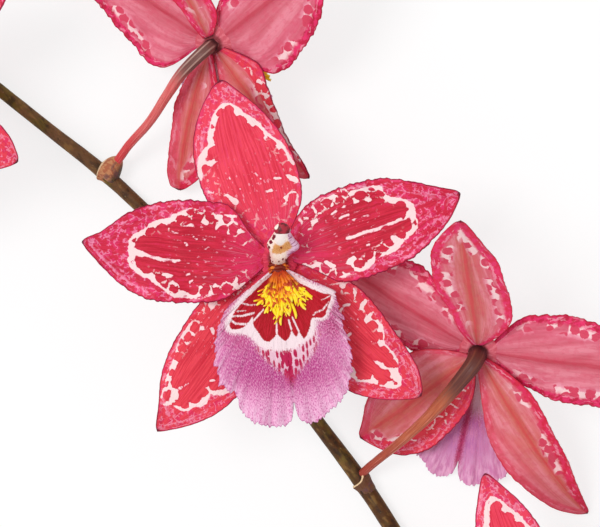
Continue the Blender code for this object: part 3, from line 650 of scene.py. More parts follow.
# %% A finish
class Finish:
    """A material that is built from nodes, with one method that adds any node."""

    def __init__(self, name):
        self.material = bpy.data.materials.new(name)
        self.material.use_nodes = True
        self.tree = self.material.node_tree
        self.shader = self.tree.nodes["Principled BSDF"]

    def node(self, kind, settings=None, inputs=None, output=0):
        """Add a node, set its settings, then fill its sockets with values or wires."""
        made = self.tree.nodes.new(kind)
        for key, value in (settings or {}).items():
            setattr(made, key, value)
        for key, value in (inputs or {}).items():
            self.fill(made.inputs[key], value)
        return Wire(self, made.outputs[output])

    def fill(self, socket, value):
        """Link a wire to the socket, or set the socket's own value."""
        if isinstance(value, Wire):
            self.tree.links.new(value.socket, socket)
        elif isinstance(value, tuple) and socket.type == "RGBA":
            socket.default_value = (*value, 1.0)
        else:
            socket.default_value = value

    def read(self, name):
        """A vector that the mesh carries on its points."""
        return self.node("ShaderNodeAttribute", {"attribute_name": name}, output="Vector")

    def number(self, name):
        """A number that the mesh carries on its points."""
        return self.node("ShaderNodeAttribute", {"attribute_name": name}, output="Fac")

    def spot(self):
        """The place in the object's own space, in metres."""
        return self.node("ShaderNodeTexCoord", {}, {}, "Object")

    def split(self, vector):
        """The three numbers of a vector."""
        made = self.node("ShaderNodeSeparateXYZ", {}, {0: vector}).socket.node
        return [Wire(self, socket) for socket in made.outputs]

    def join(self, x, y, z=0.0):
        """A vector from three numbers."""
        return self.node("ShaderNodeCombineXYZ", {}, {0: x, 1: y, 2: z})

    def mix(self, first, second, share):
        """Two colours mixed: all of the first at 0, all of the second at 1."""
        return self.node("ShaderNodeMix", {"data_type": "RGBA"},
                         {0: share, 6: first, 7: second}, output=2)

    def noise(self, vector, scale, detail, flat=True):
        """Soft noise from 0 to 1, in a plane or in space."""
        return self.node("ShaderNodeTexNoise", {"noise_dimensions": "2D" if flat else "3D"},
                         {"Vector": vector, "Scale": scale, "Detail": detail})

    def cells(self, vector, scale, feature, uneven):
        """Distance to the middle or to the edge of the cell at each point."""
        return self.node("ShaderNodeTexVoronoi", {"voronoi_dimensions": "2D", "feature": feature},
                         {"Vector": vector, "Scale": scale, "Randomness": uneven},
                         output="Distance")

    def surface(self, colour, rough, height, depth, **fixed):
        """Connect colour, roughness and a relief of the given depth in metres."""
        self.fill(self.shader.inputs["Base Color"], colour)
        self.fill(self.shader.inputs["Roughness"], rough)
        bump = self.node("ShaderNodeBump", {},
                         {"Height": height, "Strength": 1.0, "Distance": depth})
        self.fill(self.shader.inputs["Normal"], bump)
        for key, value in fixed.items():
            self.shader.inputs[key.replace("_", " ")].default_value = value
        print(f"finish {self.material.name}: {len(self.tree.nodes)} nodes")
        return self.material


print("methods of a finish:", [name for name in vars(Finish) if name[0] != "_"])

# %% [markdown]
# ## The finish of sepals and petals
# On the face, round red lobes press against the pale band from inside and leave it
# scalloped, and fine veins run along the petal. Outside the band the red turns pink, with
# pale streaks along the edge, and the very edge is a thin dark line. The back is duller,
# and the markings show only near its margins. One function makes this for any kind of
# petal from its colours: cells of a Voronoi texture stand for the lobes, because their
# borders meet in the same sharp corners as the white between two lobes.

# %% The face of sepals and petals
CREAM = rgb(253, 222, 222)
SHELL = rgb(250, 178, 198)
print("the band's cream in linear values:", [round(c, 3) for c in CREAM])


def petal_field(f, red, deep, pink, parts):
    """The red inside the band: fine dark veins along it and a pinker base."""
    u, veins = parts["u"], parts["veins"]
    field = f.mix(red, deep, veins.ease(0.44, 0.60) * 0.8)
    field = f.mix(field, pink, veins.ease(0.46, 0.34) * parts["grain"].ease(0.40, 0.60) * 0.45)
    field = f.mix(field, deep, abs(parts["v"]).ease(0.14, 0.0) * u.ease(0.75, 0.3) * 0.45)
    field = f.mix(field, red, parts["lobe"].ease(0.40, 0.25) * parts["inner"].ease(2.2, 1.2) * 0.6)
    base = u.ease(0.34, 0.04) * (0.35 + 0.65 * veins.ease(0.58, 0.44))
    field = f.mix(field, pink, base * 0.8)
    flecks = parts["fleck"].ease(0.665, 0.72) * parts["inner"].ease(1.0, 2.2) * u.ease(0.04, 0.16)
    field = f.mix(field, SHELL, flecks * u.ease(0.62, 0.45) * 0.5)
    return f.mix(field, rgb(248, 128, 160), veins.ease(0.56, 0.66) * u.ease(0.45, 0.10) * 0.4)


def petal_margin(f, red, pink, deep, pale, parts):
    """The pink outside the band: darker patches, and pale streaks that follow the edge."""
    margin = f.mix(pink, red, parts["patch"].ease(0.42, 0.54) * 0.85)
    margin = f.mix(margin, deep, parts["veins"].ease(0.50, 0.62) * 0.45)
    border = abs(parts["squiggle"] - 0.5 + (parts["grain"] - 0.5) * 0.25).ease(0.07, 0.02)
    border = border * parts["edge"].ease(0.3, 0.7) * parts["u"].ease(0.2, 0.5)
    margin = f.mix(margin, pale, border * parts["patch"].ease(0.58, 0.46) * 0.65)
    streaks = parts["streak"].ease(0.54, 0.62) * parts["edge"].ease(0.25, 0.55)
    streaks = streaks * (0.4 + 0.6 * parts["grain"].ease(0.40, 0.55)) * parts["edge"].ease(3.6, 1.6)
    return f.mix(margin, pale, streaks * (0.40 + 0.40 * parts["u"].ease(0.2, 0.6)))

# %% [markdown]
# The back is paler and washed out. Rings of white round dull red lobes show through
# only here and there, further in towards the tip, and a crimson margin runs round them.

# %% The back of sepals and petals
def petal_back(f, back, back_pink, deep, pink, parts, one_sided):
    """The back: washed and streaked, with ringed lobes only here and there near its edge."""
    v, edge, drift, veins = parts["v"], parts["edge"], parts["drift"], parts["veins"]
    wash = parts["wash"]
    rough = (parts["grain"] - 0.5) * 1.3
    dull = f.mix(back, back_pink, (abs(v) + (veins - 0.5) * 0.7).ease(0.15, 0.75))
    soft = (wash.ease(0.46, 0.66) * 0.34 + 0.2) * abs(v).ease(0.06, 0.3)
    dull = f.mix(dull, rgb(246, 160, 176), soft)
    dull = f.mix(dull, deep, wash.ease(0.48, 0.32) * 0.22)
    dull = f.mix(dull, rgb(214, 62, 96), parts["patch"].ease(0.50, 0.64) * 0.22)
    dull = f.mix(dull, rgb(240, 160, 168), veins.ease(0.52, 0.72) * 0.11)
    dull = f.mix(dull, deep, veins.ease(0.46, 0.30) * drift.ease(0.60, 0.44) * 0.13)
    dull = f.mix(dull, deep, (abs(v) + 0.02 * rough).ease(0.07, 0.02) * 0.45)
    side = v.ease(0.05, -0.15) if one_sided else 1.0
    lobe = parts["lobe"] + rough * 0.04
    width = abs(edge - (parts["u"] * 2.0 + 1.5)) + rough * 0.6
    near = drift.ease(0.45, 0.50) * side * parts["u"].ease(0.12, 0.25)
    ring = width.ease(1.5, 0.9) * lobe.ease(0.44, 0.49)
    dull = f.mix(dull, SHELL, width.ease(2.6, 1.4) * near * 0.5)
    dull = f.mix(dull, CREAM, ring * near * 0.78)
    core = width.ease(2.1, 1.6) * lobe.ease(0.46, 0.41)
    dull = f.mix(dull, rgb(212, 38, 78), core * near * 0.85)
    margin = f.mix(pink, deep, parts["patch"].ease(0.44, 0.60) * 0.7)
    margin = f.mix(margin, SHELL, parts["streak"].ease(0.56, 0.66) * 0.5)
    rim = (edge + rough * 0.7 - parts["u"] * 1.1).ease(2.0, 0.9)
    return f.mix(dull, margin, rim * (0.55 + 0.45 * side))

# %% [markdown]
# The finish of a whole petal bends the cells a little with noise, so that no lobe is a
# plain polygon, thickens the strokes where lobes meet them, adds a fine net beside
# them, and picks face or back by a value that the mesh carries.

# %% One finish for both faces
def petal_finish(name, red, deep, pink, pale, back, back_pink, lacy, one_sided=False):
    """Face and back of a sepal or petal, from its colours."""
    f = Finish(name)
    flat = f.read("flat")
    v, u, face = f.split(f.read("place"))
    edge, mark, inner = f.split(f.read("depths"))
    grain = f.noise(flat, 1.3, 3.0)
    dust = f.noise(flat, 3.0, 3.0)
    x, y, _ = f.split(flat)
    bent = f.join(x + (grain - 0.5) * 0.7, y + (f.noise(flat, 1.0, 2.0) - 0.5) * 0.7)
    lobe = f.cells(bent, 0.40, "F1", 0.85)
    parts = {
        "u": u, "v": v, "edge": edge, "inner": inner, "grain": grain, "lobe": lobe,
        "drift": f.noise(flat, 0.22, 1.0),
        "wash": f.noise(f.join(v * 3.2, u * 3.6 + x * 0.37), 1.0, 2.0),
        "patch": f.noise(flat, 0.75, 2.0),
        "fleck": f.noise(f.join(x * 1.5, y * 0.8), 1.0, 2.0),
        "veins": f.noise(f.join(v * 21.0, u * 4.5 + x * 0.37), 1.0, 4.0),
        "squiggle": f.noise(flat, 0.6, 2.0),
        "streak": f.noise(f.join(edge * 1.1 + grain, u * 12.0 + x * 0.37), 1.0, 3.0),
    }

    push = ((0.42 - lobe) * 4.2).least(0.95).most(-0.36)
    alone = inner.ease(2.0, 3.2)
    push = push * inner.ease(-0.25, 0.2) * (1 - alone * 0.8)
    line = mark + 0.08 + alone * 0.08 + push + (grain - 0.5) * (0.55 - alone * 0.25)
    net = f.cells(bent, 0.40, "DISTANCE_TO_EDGE", 0.85) + (dust - 0.5) * 0.1
    net = net.ease(0.10, 0.05) * inner.ease(-0.9, -0.3) * inner.ease(2.6, 1.7)
    net = net * u.ease(0.68, 0.50) * u.ease(0.07, 0.14) * parts["patch"].ease(0.53, 0.46)
    band = line.ease(0.10, -0.06).most(net * lacy)
    front = f.mix(petal_margin(f, red, pink, deep, pale, parts),
                  petal_field(f, red, deep, pink, parts), inner.ease(-0.3, 0.3))
    front = f.mix(front, deep, line.ease(0.6, 0.2) * inner.ease(-0.2, 0.3) * 0.55)
    front = f.mix(front, SHELL, line.ease(0.16, 0.0))
    front = f.mix(front, CREAM, band)
    rim = (edge + (grain - 0.5) * 0.3).ease(0.30, 0.10)
    front = f.mix(front, rgb(138, 14, 54), rim * 0.85)

    dull = petal_back(f, back, back_pink, deep, pink, parts, one_sided)
    dull = f.mix(dull, deep, edge.ease(0.45, 0.12) * 0.7)
    colour = f.mix(dull, front, face.ease(-0.4, 0.4))
    colour = f.mix(colour, rgb(84, 34, 48), u.ease(0.984, 0.995) * 0.7)

    rough = 0.46 + 0.14 * grain
    relief = parts["veins"] * 0.7 + dust * 0.25 + lobe * 0.2
    return f.surface(colour, rough, relief, 0.00022, Specular_IOR_Level=0.22)


FINISHES = {
    "dorsal_sepal": petal_finish("dorsal_sepal_skin", rgb(240, 66, 90), rgb(218, 38, 66),
                                 rgb(232, 56, 108), rgb(250, 158, 184),
                                 rgb(204, 102, 94), rgb(214, 88, 108), 0.4),
    "petal": petal_finish("petal_skin", rgb(212, 36, 64), rgb(182, 18, 46),
                          rgb(228, 48, 104), rgb(248, 150, 186),
                          rgb(210, 96, 114), rgb(216, 84, 114), 0.95),
    "sepal": petal_finish("side_sepal_skin", rgb(236, 64, 80), rgb(210, 34, 58),
                          rgb(228, 48, 94), rgb(248, 150, 176),
                          rgb(212, 106, 96), rgb(220, 98, 110), 0.8, one_sided=True),
}
print("petal finishes:", [made.name for made in FINISHES.values()])

# %% Make the sepals and petals
for number, flower in enumerate(FLOWERS):
    for k, (part, spec) in enumerate(flower["tepals"].items()):
        kind = "petal" if part.endswith("petal") else part
        finish = FINISHES.get(kind, FINISHES["sepal"])
        add_petal(flower, number, k, part, spec, finish)

# %% [markdown]
# ## The lip
# The lip is one broad lobe that fans out from a narrow foot: dark red round the crest,
# then a white band with scalloped lobes of red in it, then an orchid-pink blade with a
# notch and a frilled, finely toothed edge. It is made on a fan-shaped grid, because its
# frills, pleats and colours all run outwards from the foot.

# %% Numbers of the lip
LIP_FOOT = np.array([0.0, -1.7])
LIP_MIDDLE = 277.0
LIP_SPAN = (219.0, 336.5)
# Azimuth and reach of the edge, of the red zone and of the white band round it.
LIP_EDGE = [
    219, 12.9, 221, 14.8, 224, 16.8, 229, 19.8, 234, 22.5, 238, 24.6, 242, 26.6, 247, 28.2, 252,
    28.4, 256, 31.6, 260, 33.0, 267, 33.9, 273, 33.8, 278, 33.5, 283, 34.0, 290, 32.4, 297,
    30.8, 305, 27.0, 311, 23.3, 316, 19.6, 324, 16.2, 330, 14.2, 335, 13.2, 337, 12.9,
]
LIP_RED = [
    226, 5.2, 225.6, 8.9, 225.4, 11.2, 227, 13.8, 229.8, 15.7, 232, 16.5, 236, 16.2, 240, 15.2,
    242.8, 13.6, 243.5, 11.6, 247, 13.5, 253.2, 14.5, 258.8, 15.9, 263.5, 16.2, 267, 15.1,
    269.2, 14.2, 272.5, 15.2, 276.2, 16, 280, 15, 282.2, 13.6, 283.2, 14.9, 285, 15.6, 288.2,
    14.2, 289.1, 16.4, 292.4, 15.9, 295.6, 15.1, 299.4, 14.1, 302.3, 13.1, 306.1, 13.4, 310.2,
    14.3, 313.5, 14.5, 317.9, 13.9, 322.2, 13.4, 326.2, 13.3, 330.4, 12.9, 332, 12.8, 330.9,
    12.4, 328.3, 10.8, 326.3, 7.9, 319.2, 5, 300, 1.0, 250, 1.0,
]
LIP_WHITE = [
    218.5, 5.5, 219.5, 8, 221, 10, 222.3, 11.8, 224.3, 14, 227.6, 16.3, 231.5, 17.3, 236, 17.1,
    240.5, 16.2, 246.2, 15.8, 250.2, 16.1, 255.8, 17, 261.2, 17.5, 266, 17.5, 273.5, 17.7,
    281.5, 17.6, 287.5, 17.0, 293.7, 16.4, 297, 16.2, 299.6, 15.6, 302.6, 14.6, 304.6, 13.8,
    309.6, 14.7, 314.3, 14.9, 318.5, 14.3, 322.4, 14, 326.8, 13.8, 330.8, 13.4, 336.6, 12.9,
    337.5, 12.1, 333.9, 10.3, 333.2, 7.4, 334.4, 4.2, 300, 0.6, 250, 0.6,
]
# White strokes through the red zone: a half-width, then azimuths and reaches.
LIP_STROKES = [
    (0.2, [225, 11.0, 234, 10.2, 240, 9.5]), (0.24, [227, 14.4, 235, 12.8, 243, 11.1]),
    (0.26, [226, 15.2, 234, 15.0, 241, 14.0, 246, 13.2]), (0.16, [228, 12.8, 234, 11.6]),
    (0.2, [305.5, 12.8, 309, 12.6, 315.4, 13.2, 321.4, 13.1]),
    (0.12, [319, 13, 325.8, 13.1]), (0.12, [322, 11.6, 330.5, 12.7]),
    (0.2, [269.2, 14.4, 268.6, 11.5]), (0.22, [282.2, 13.8, 281.4, 11.6]),
    (0.18, [287.9, 14.6, 285.6, 11.0]), (0.2, [246, 12.6, 252, 9.6]),
]
LIP_RISE = ([0, 4, 9, 16, 24, 36], [2.3, 3.3, 4.9, 5.3, 4.6, 2.6])
LIP_FRILL = 0.45
LIP_FRILLS = 21  # waves of the frill in a full turn
LIP_TEETH = 0.24
# Waves of the blade: height, step of the seed, wavelengths in degrees, rise outwards.
LIP_WAVES = [(0.32, 3, [5.3, 8.1, 13.0], 4), (0.07, 5, [2.9, 4.3], 2)]
LIP_FOLD = (0.7, 5.0)  # depth and half-width in degrees of the fold down its middle
# Where along the edge the teeth join into longer fingers: azimuths and shares.
LIP_FINGERS = ([224, 240, 258, 296, 318, 332], [0.3, 1, 0.25, 0.25, 1.1, 0.5])
NOTCH = (276.6, 0.75, 4.4)  # azimuth, half-width in degrees, depth
LIP_ROWS = 56
LIP_COLUMNS = 361
print("points of the lip's edge and zones:",
      [len(numbers) // 2 for numbers in (LIP_EDGE, LIP_RED, LIP_WHITE)])


# %% Helpers that shape and make a lip
def on_fan(numbers):
    """Points of the lip's plane from azimuths and reaches."""
    azimuth, reach = np.array(numbers, float).reshape(-1, 2).T
    turn = np.radians(azimuth)
    return LIP_FOOT + reach[:, None] * np.stack([np.cos(turn), np.sin(turn)], axis=1)


def rounded(outline, times=2):
    """The closed outline with its corners cut off, again and again, until they are round."""
    for _ in range(times):
        after = np.roll(outline, -1, axis=0)
        outline = np.stack([0.8 * outline + 0.2 * after, 0.2 * outline + 0.8 * after], axis=1)
        outline = outline.reshape(-1, 2)
    return outline


def lip_height(reach, azimuth, share):
    """Height of the lip's middle surface above the flower's plane."""
    across = (azimuth - LIP_MIDDLE) / 59.0
    rise = smooth(*LIP_RISE, np.ravel(reach)).reshape(np.shape(reach))
    return rise - 0.9 * across**2 * share + 1.2 * np.abs(across) ** 6 * np.sin(np.pi * share)


def lip_grid(size, seed):
    """Middle surface of the lip with its notch, teeth, pleats and frill."""
    azimuth = np.linspace(*LIP_SPAN, LIP_COLUMNS)[None, :]
    share = (1 - (1 - np.linspace(0, 1, LIP_ROWS)) ** 1.25)[:, None]
    outline = np.array(LIP_EDGE, float).reshape(-1, 2)
    edge = smooth(outline[:, 0], outline[:, 1], azimuth[0])
    turn = np.radians(azimuth)
    rim = edge[:, None] * np.stack([np.cos(turn[0]), np.sin(turn[0])], axis=1)
    run = np.concatenate([[0], np.cumsum(np.linalg.norm(np.diff(rim, axis=0), axis=1))])
    teeth = LIP_TEETH * ripple(run, seed, [0.8, 1.1, 1.7])
    fingers = np.clip(ripple(run, seed + 1, [2.3, 3.9]), -0.5, 2) * 0.7
    teeth = teeth + fingers * smooth(*LIP_FINGERS, azimuth[0])
    away = np.abs(azimuth[0] - NOTCH[0])
    notch = NOTCH[2] * np.exp(-((away / NOTCH[1]) ** 1.2)) + 0.9 * np.exp(-((away / 2.6) ** 2))
    edge = size * (edge + teeth - notch)
    reach = 0.5 + (edge - 0.5) * share
    rise = lip_height(reach, azimuth, share)
    rise = rise + LIP_FRILL * np.sin(LIP_FRILLS * turn) * share**5
    for height, step, waves, power in LIP_WAVES:
        rise = rise + height * ripple(azimuth, seed + step, waves) * share**power
    rise = rise + 0.06 * ripple(reach + 0.3 * azimuth, seed + 8, [1.3, 2.1]) * share
    rise = rise - LIP_FOLD[0] * np.exp(-(((azimuth - LIP_MIDDLE) / LIP_FOLD[1]) ** 2)) * share**2
    x = LIP_FOOT[0] + reach * np.cos(turn)
    y = LIP_FOOT[1] + reach * np.sin(turn)
    return np.stack([x, y, rise], axis=2), azimuth + 0 * reach, reach, edge - reach


def add_lip(flower, number, finish):
    """One lip, with the values that its finish reads."""
    grid, azimuth, reach, edge = lip_grid(flower["lip"], 300 + 10 * number)
    thickness = 0.2 + 0.3 * np.clip(edge / 8, 0, 1)
    vertices, faces = sheet(grid, thickness)
    size = flower["lip"]
    flat = grid[..., :2].reshape(-1, 2)
    full = (flat - LIP_FOOT) / size + LIP_FOOT
    red = depth_inside(full, rounded(on_fan(LIP_RED))) * size
    white = depth_inside(full, rounded(on_fan(LIP_WHITE))) * size
    strokes = np.min([stroke_distance(full, on_fan(ends), half) for half, ends in LIP_STROKES],
                     axis=0)
    face = np.ones(len(flat))
    out = (azimuth - LIP_MIDDLE).ravel()
    values = {
        "flat": np.tile(np.column_stack([flat + 40.0 * number, 0 * face]), (2, 1)),
        "place": np.vstack([np.column_stack([out, reach.ravel() / size, face]),
                            np.column_stack([out, reach.ravel() / size, -face])]),
        "depths": np.tile(np.column_stack([edge.ravel(), red, white]), (2, 1)),
        "strokes": np.tile(strokes, 2),
    }
    node = f"{flower['name']}_lip"
    vertices = turned(flower, vertices, flower.get("lip_turn", 0.0))
    piece = new_mesh(f"{node}_fine", place(flower, vertices), faces, values)
    register(piece, finish, node)


print("the lip's height in mm at 5, 15 and 30 mm:",
      lip_height(np.array([5.0, 15.0, 30.0]), LIP_MIDDLE, 1.0).round(2))

# %% [markdown]
# ## The lip's finish
# The red zone and the white band are read from distances that the mesh carries, so their
# edges stay crisp at any size. The blade is a fine grain of paler and darker pink that
# runs outwards, darkest below the crest. A tapering patch of crimson spots lies there.

# %% The lip's blade
def lip_blade(f, parts):
    """The orchid-pink blade: mottled, darkest below the crest and pale along its edge."""
    out, reach, edge = parts["out"], parts["reach"], parts["edge"]
    mottle, dust, rays = parts["mottle"], parts["dust"], parts["rays"]
    blade = f.mix(rgb(228, 134, 184), rgb(248, 190, 222), mottle.ease(0.46, 0.64) * 0.6)
    blade = f.mix(blade, rgb(196, 80, 156), mottle.ease(0.50, 0.36) * 0.62)
    below = reach.ease(15.0, 19.0) * reach.ease(30.0, 23.0) * abs(out + 6.0).ease(44.0, 12.0)
    blade = f.mix(blade, rgb(182, 44, 126), below * (0.45 + 0.55 * mottle.ease(0.62, 0.42)) * 0.95)
    pale = reach.ease(25.0, 31.0) * mottle.ease(0.36, 0.56)
    blade = f.mix(blade, rgb(252, 198, 230), pale * 0.55)
    wings = abs(out).ease(22.0, 34.0) * reach.ease(22.0, 17.0)
    blade = f.mix(blade, rgb(190, 62, 120), wings * (0.35 + 0.65 * mottle.ease(0.60, 0.44)) * 0.8)
    dots = out.ease(14.0, 26.0) * wings * dust.ease(0.50, 0.64)
    blade = f.mix(blade, rgb(148, 24, 84), dots * 0.8)
    blade = f.mix(blade, rgb(250, 206, 232), edge.ease(4.5, 0.4) * rays.ease(0.42, 0.6) * 0.55)
    blade = f.mix(blade, rgb(150, 40, 110), dust.ease(0.60, 0.70) * reach.ease(32.0, 18.0) * 0.5)
    return f.mix(blade, rgb(178, 84, 150), (edge + (dust - 0.5) * 0.4).ease(0.24, 0.08) * 0.6)


def lip_streaks(f, blade, parts):
    """Crimson streaks on a pale ground that run down the middle of the blade and thin out."""
    side, reach, dust = parts["side"], parts["reach"], parts["dust"]
    width = reach.ease(25.5, 17.0) * 6.6 + 0.6
    loose = (dust - 0.5) * 2.0 + (parts["mottle"] - 0.5) * 5.0
    there = (width - abs(side) + loose).ease(-0.6, 1.4) * reach.ease(26.5, 24.0)
    blade = f.mix(blade, rgb(250, 214, 226), there * reach.ease(26.0, 19.5) * 0.75)
    cells = f.cells(f.join(side * 1.35, reach * 0.42 + 3.0), 1.0, "F1", 0.95)
    core = abs(side + 0.3).ease(1.5, 0.4) * 0.36
    streak = (cells - core + (dust - 0.5) * 0.2).ease(0.40, 0.30)
    return f.mix(blade, rgb(190, 24, 78), streak * there)

# %% [markdown]
# Blade, white band and crimson lobes are laid over each other. The back is plainer:
# pink, purple in its middle and pale at its foot, its own pale made wider as painted light
# against the shade there, with one crimson vein.

# %% The lip's whole finish
def lip_finish():
    """Crimson lobes, a white band and the pink blade, with a plainer back."""
    f = Finish("lip_skin")
    flat = f.read("flat")
    out, reach, face = f.split(f.read("place"))
    edge, red, white = f.split(f.read("depths"))
    strokes = f.number("strokes")
    side = out * reach * 0.01745
    dust = f.noise(flat, 3.6, 2.0)
    rays = f.noise(f.join(out * 0.42, reach * 0.16 + f.split(flat)[0] * 0.01), 2.2, 3.0)
    mottle = f.noise(f.join(side * 1.9, reach * 0.75), 3.0, 4.0)
    parts = {"out": out, "reach": reach, "edge": edge, "side": side, "dust": dust, "rays": rays,
             "mottle": mottle}

    blade = lip_streaks(f, lip_blade(f, parts), parts)
    crisp = white + (dust - 0.5) * 0.7 + (mottle - 0.5) * 1.6
    colour = f.mix(blade, rgb(250, 226, 232), crisp.ease(-0.7, 0.25))
    crimson = f.mix(rgb(172, 4, 24), rgb(206, 22, 48), rays.ease(0.42, 0.66) * 0.7)
    crimson = f.mix(crimson, rgb(196, 20, 40), out.ease(18.0, 34.0) * 0.7)
    inside = (red + (dust - 0.5) * 0.35).ease(-0.10, 0.12)
    inside = inside * (strokes + 0.06 + (dust - 0.5) * 0.2).ease(-0.05, 0.12)
    colour = f.mix(colour, crimson, inside)
    back = f.mix(rgb(214, 134, 184), rgb(238, 178, 214), rays.ease(0.3, 0.7))
    deep = abs(out + 8.0).ease(30.0, 6.0) * reach.ease(24.0, 15.0) * mottle.ease(0.66, 0.48)
    back = f.mix(back, rgb(172, 46, 78), deep * 0.85)
    middle = abs(out + (dust - 0.5) * 2.0).ease(24.0, 4.0) * reach.ease(32.0, 24.0)
    back = f.mix(back, rgb(184, 84, 164), middle * rays.ease(0.30, 0.62) * 0.75)
    # Pale at the foot: the back's own pale patch, made wider and stronger as painted light against
    # the shade near the column.
    back = f.mix(back, rgb(250, 226, 236), reach.ease(19.0, 12.0) * 0.8)
    vein = (abs(side) + (mottle - 0.5) * 1.2).ease(1.1, 0.2) * reach.ease(33.0, 28.0)
    back = f.mix(back, rgb(176, 28, 84), vein * reach.ease(9.0, 16.0) * 0.85)
    colour = f.mix(back, colour, face.ease(-0.4, 0.4))

    relief = rays * 0.5 + mottle * 0.5 + dust * 0.2
    return f.surface(colour, 0.5 + 0.12 * dust, relief, 0.00025, Specular_IOR_Level=0.22)


FINISHES["lip"] = lip_finish()
for number, flower in enumerate(FLOWERS):
    add_lip(flower, number, FINISHES["lip"])

# %% [markdown]
# ## A stalk made by Geometry Nodes
# Stem, pedicels and the fringe of the crest are all the same thing to a modeller: a
# round body that follows a path and changes its girth on the way. One node tree makes
# them all. It turns a path of edges into a curve, sweeps a circle along it, scales the
# circle by the path's own girth, and pushes ribs out where the ribs begin.

# %% The stalk tree
def stalk_tree():
    """Path of edges with a girth on its points -> a closed, ribbed body."""
    tree = bpy.data.node_groups.new("stalk", "GeometryNodeTree")
    sockets = [("Path", "NodeSocketGeometry"), ("Sides", "NodeSocketInt"),
               ("Ribs", "NodeSocketFloat"), ("Rib Depth", "NodeSocketFloat"),
               ("Ribs From", "NodeSocketFloat"), ("Unevenness", "NodeSocketFloat"),
               ("Seed", "NodeSocketFloat"), ("Finish", "NodeSocketMaterial")]
    for label, kind in sockets:
        tree.interface.new_socket(label, in_out="INPUT", socket_type=kind)
    tree.interface.new_socket("Body", in_out="OUTPUT", socket_type="NodeSocketGeometry")
    entry = tree.nodes.new("NodeGroupInput")
    leave = tree.nodes.new("NodeGroupOutput")

    def node(kind, settings=None, inputs=None):
        made = tree.nodes.new(kind)
        for key, value in (settings or {}).items():
            setattr(made, key, value)
        for key, value in (inputs or {}).items():
            if isinstance(value, bpy.types.NodeSocket):
                tree.links.new(value, made.inputs[key])
            else:
                made.inputs[key].default_value = value
        return made.outputs

    def maths(operation, a, b=0.0):
        return node("ShaderNodeMath", {"operation": operation}, {0: a, 1: b})[0]

    def store(geometry, label, value):
        return node("GeometryNodeStoreNamedAttribute", {"data_type": "FLOAT", "domain": "POINT"},
                    {"Geometry": geometry, "Name": label, "Value": value})[0]

    def named(label):
        return node("GeometryNodeInputNamedAttribute", {"data_type": "FLOAT"}, {"Name": label})[0]

    path = node("GeometryNodeMeshToCurve", {}, {"Mesh": entry.outputs["Path"]})[0]
    path = store(path, "way", node("GeometryNodeSplineParameter")[0])
    ring = node("GeometryNodeCurvePrimitiveCircle", {},
                {"Resolution": entry.outputs["Sides"], "Radius": 1.0})[0]
    ring = store(ring, "round", node("GeometryNodeSplineParameter")[0])
    body = node("GeometryNodeCurveToMesh", {},
                {"Curve": path, "Profile Curve": ring, "Scale": named("girth"),
                 "Fill Caps": True})[0]
    wave = maths("COSINE", maths("MULTIPLY", maths("MULTIPLY", named("round"), 2 * math.pi),
                                 entry.outputs["Ribs"]))
    starts = node("ShaderNodeMapRange", {"interpolation_type": "SMOOTHSTEP"},
                  {"Value": named("way"), "From Min": entry.outputs["Ribs From"],
                   "From Max": maths("ADD", entry.outputs["Ribs From"], 0.15)})[0]
    rib = maths("MULTIPLY", maths("MULTIPLY", wave, entry.outputs["Rib Depth"]), starts)
    lump = node("ShaderNodeTexNoise", {"noise_dimensions": "4D"},
                {"Vector": node("GeometryNodeInputPosition")[0], "W": entry.outputs["Seed"],
                 "Scale": 420.0, "Detail": 1.0})[0]
    lump = maths("MULTIPLY", maths("SUBTRACT", lump, 0.5), entry.outputs["Unevenness"])
    push = node("ShaderNodeVectorMath", {"operation": "SCALE"},
                {0: node("GeometryNodeInputNormal")[0], "Scale": maths("ADD", rib, lump)})[0]
    body = node("GeometryNodeSetPosition", {}, {"Geometry": body, "Offset": push})[0]
    body = node("GeometryNodeSetShadeSmooth", {}, {"Geometry": body})[0]
    body = node("GeometryNodeRealizeInstances", {}, {"Geometry": body})[0]
    body = node("GeometryNodeSetMaterial", {},
                {"Geometry": body, "Material": entry.outputs["Finish"]})[0]
    tree.links.new(body, leave.inputs["Body"])
    return tree

# %% [markdown]
# The tree runs in a modifier on a mesh of plain edges. Its inputs are set by their
# identifiers before it is first evaluated. The result is copied to a plain mesh, and
# the holder with its modifier is thrown away.

# %% Grow a stalk
STALK = stalk_tree()


def grow(name, paths, **settings):
    """A plain mesh object from paths of (points in mm, girths in mm) through the tree."""
    points = np.vstack([way for way, _ in paths])
    girths = np.concatenate([girth for _, girth in paths])
    edges, first = [], 0
    for way, _ in paths:
        edges += [(first + i, first + i + 1) for i in range(len(way) - 1)]
        first += len(way)
    mesh = bpy.data.meshes.new(name + "_path")
    mesh.from_pydata(((points - np.array([*CENTRE, 0.0])) * MM).tolist(), edges, [])
    mesh.attributes.new("girth", "FLOAT", "POINT").data.foreach_set(
        "value", np.asarray(girths * MM, np.float32))
    holder = bpy.data.objects.new(name + "_path", mesh)
    bpy.context.scene.collection.objects.link(holder)
    modifier = holder.modifiers.new("stalk", "NODES")
    modifier.node_group = STALK
    sockets = {item.name: item.identifier for item in STALK.interface.items_tree
               if item.in_out == "INPUT"}
    for label, value in settings.items():
        modifier[sockets[label.replace("_", " ")]] = value
    evaluated = holder.evaluated_get(bpy.context.evaluated_depsgraph_get())
    made = bpy.data.objects.new(name, bpy.data.meshes.new_from_object(evaluated))
    bpy.context.scene.collection.objects.link(made)
    bpy.data.objects.remove(holder, do_unlink=True)
    return made


print("stalk tree nodes:", len(STALK.nodes))

# %% [markdown]
# ## Stem, pedicels and bracts
# The stem is olive brown with fine lengthwise streaks, and swells a little at its nodes.
# Each pedicel is salmon red and thickens to a dark, ribbed ovary behind its flower. A
# short sheath, the bract, clasps the stem at each node and ends in a pale papery rim.

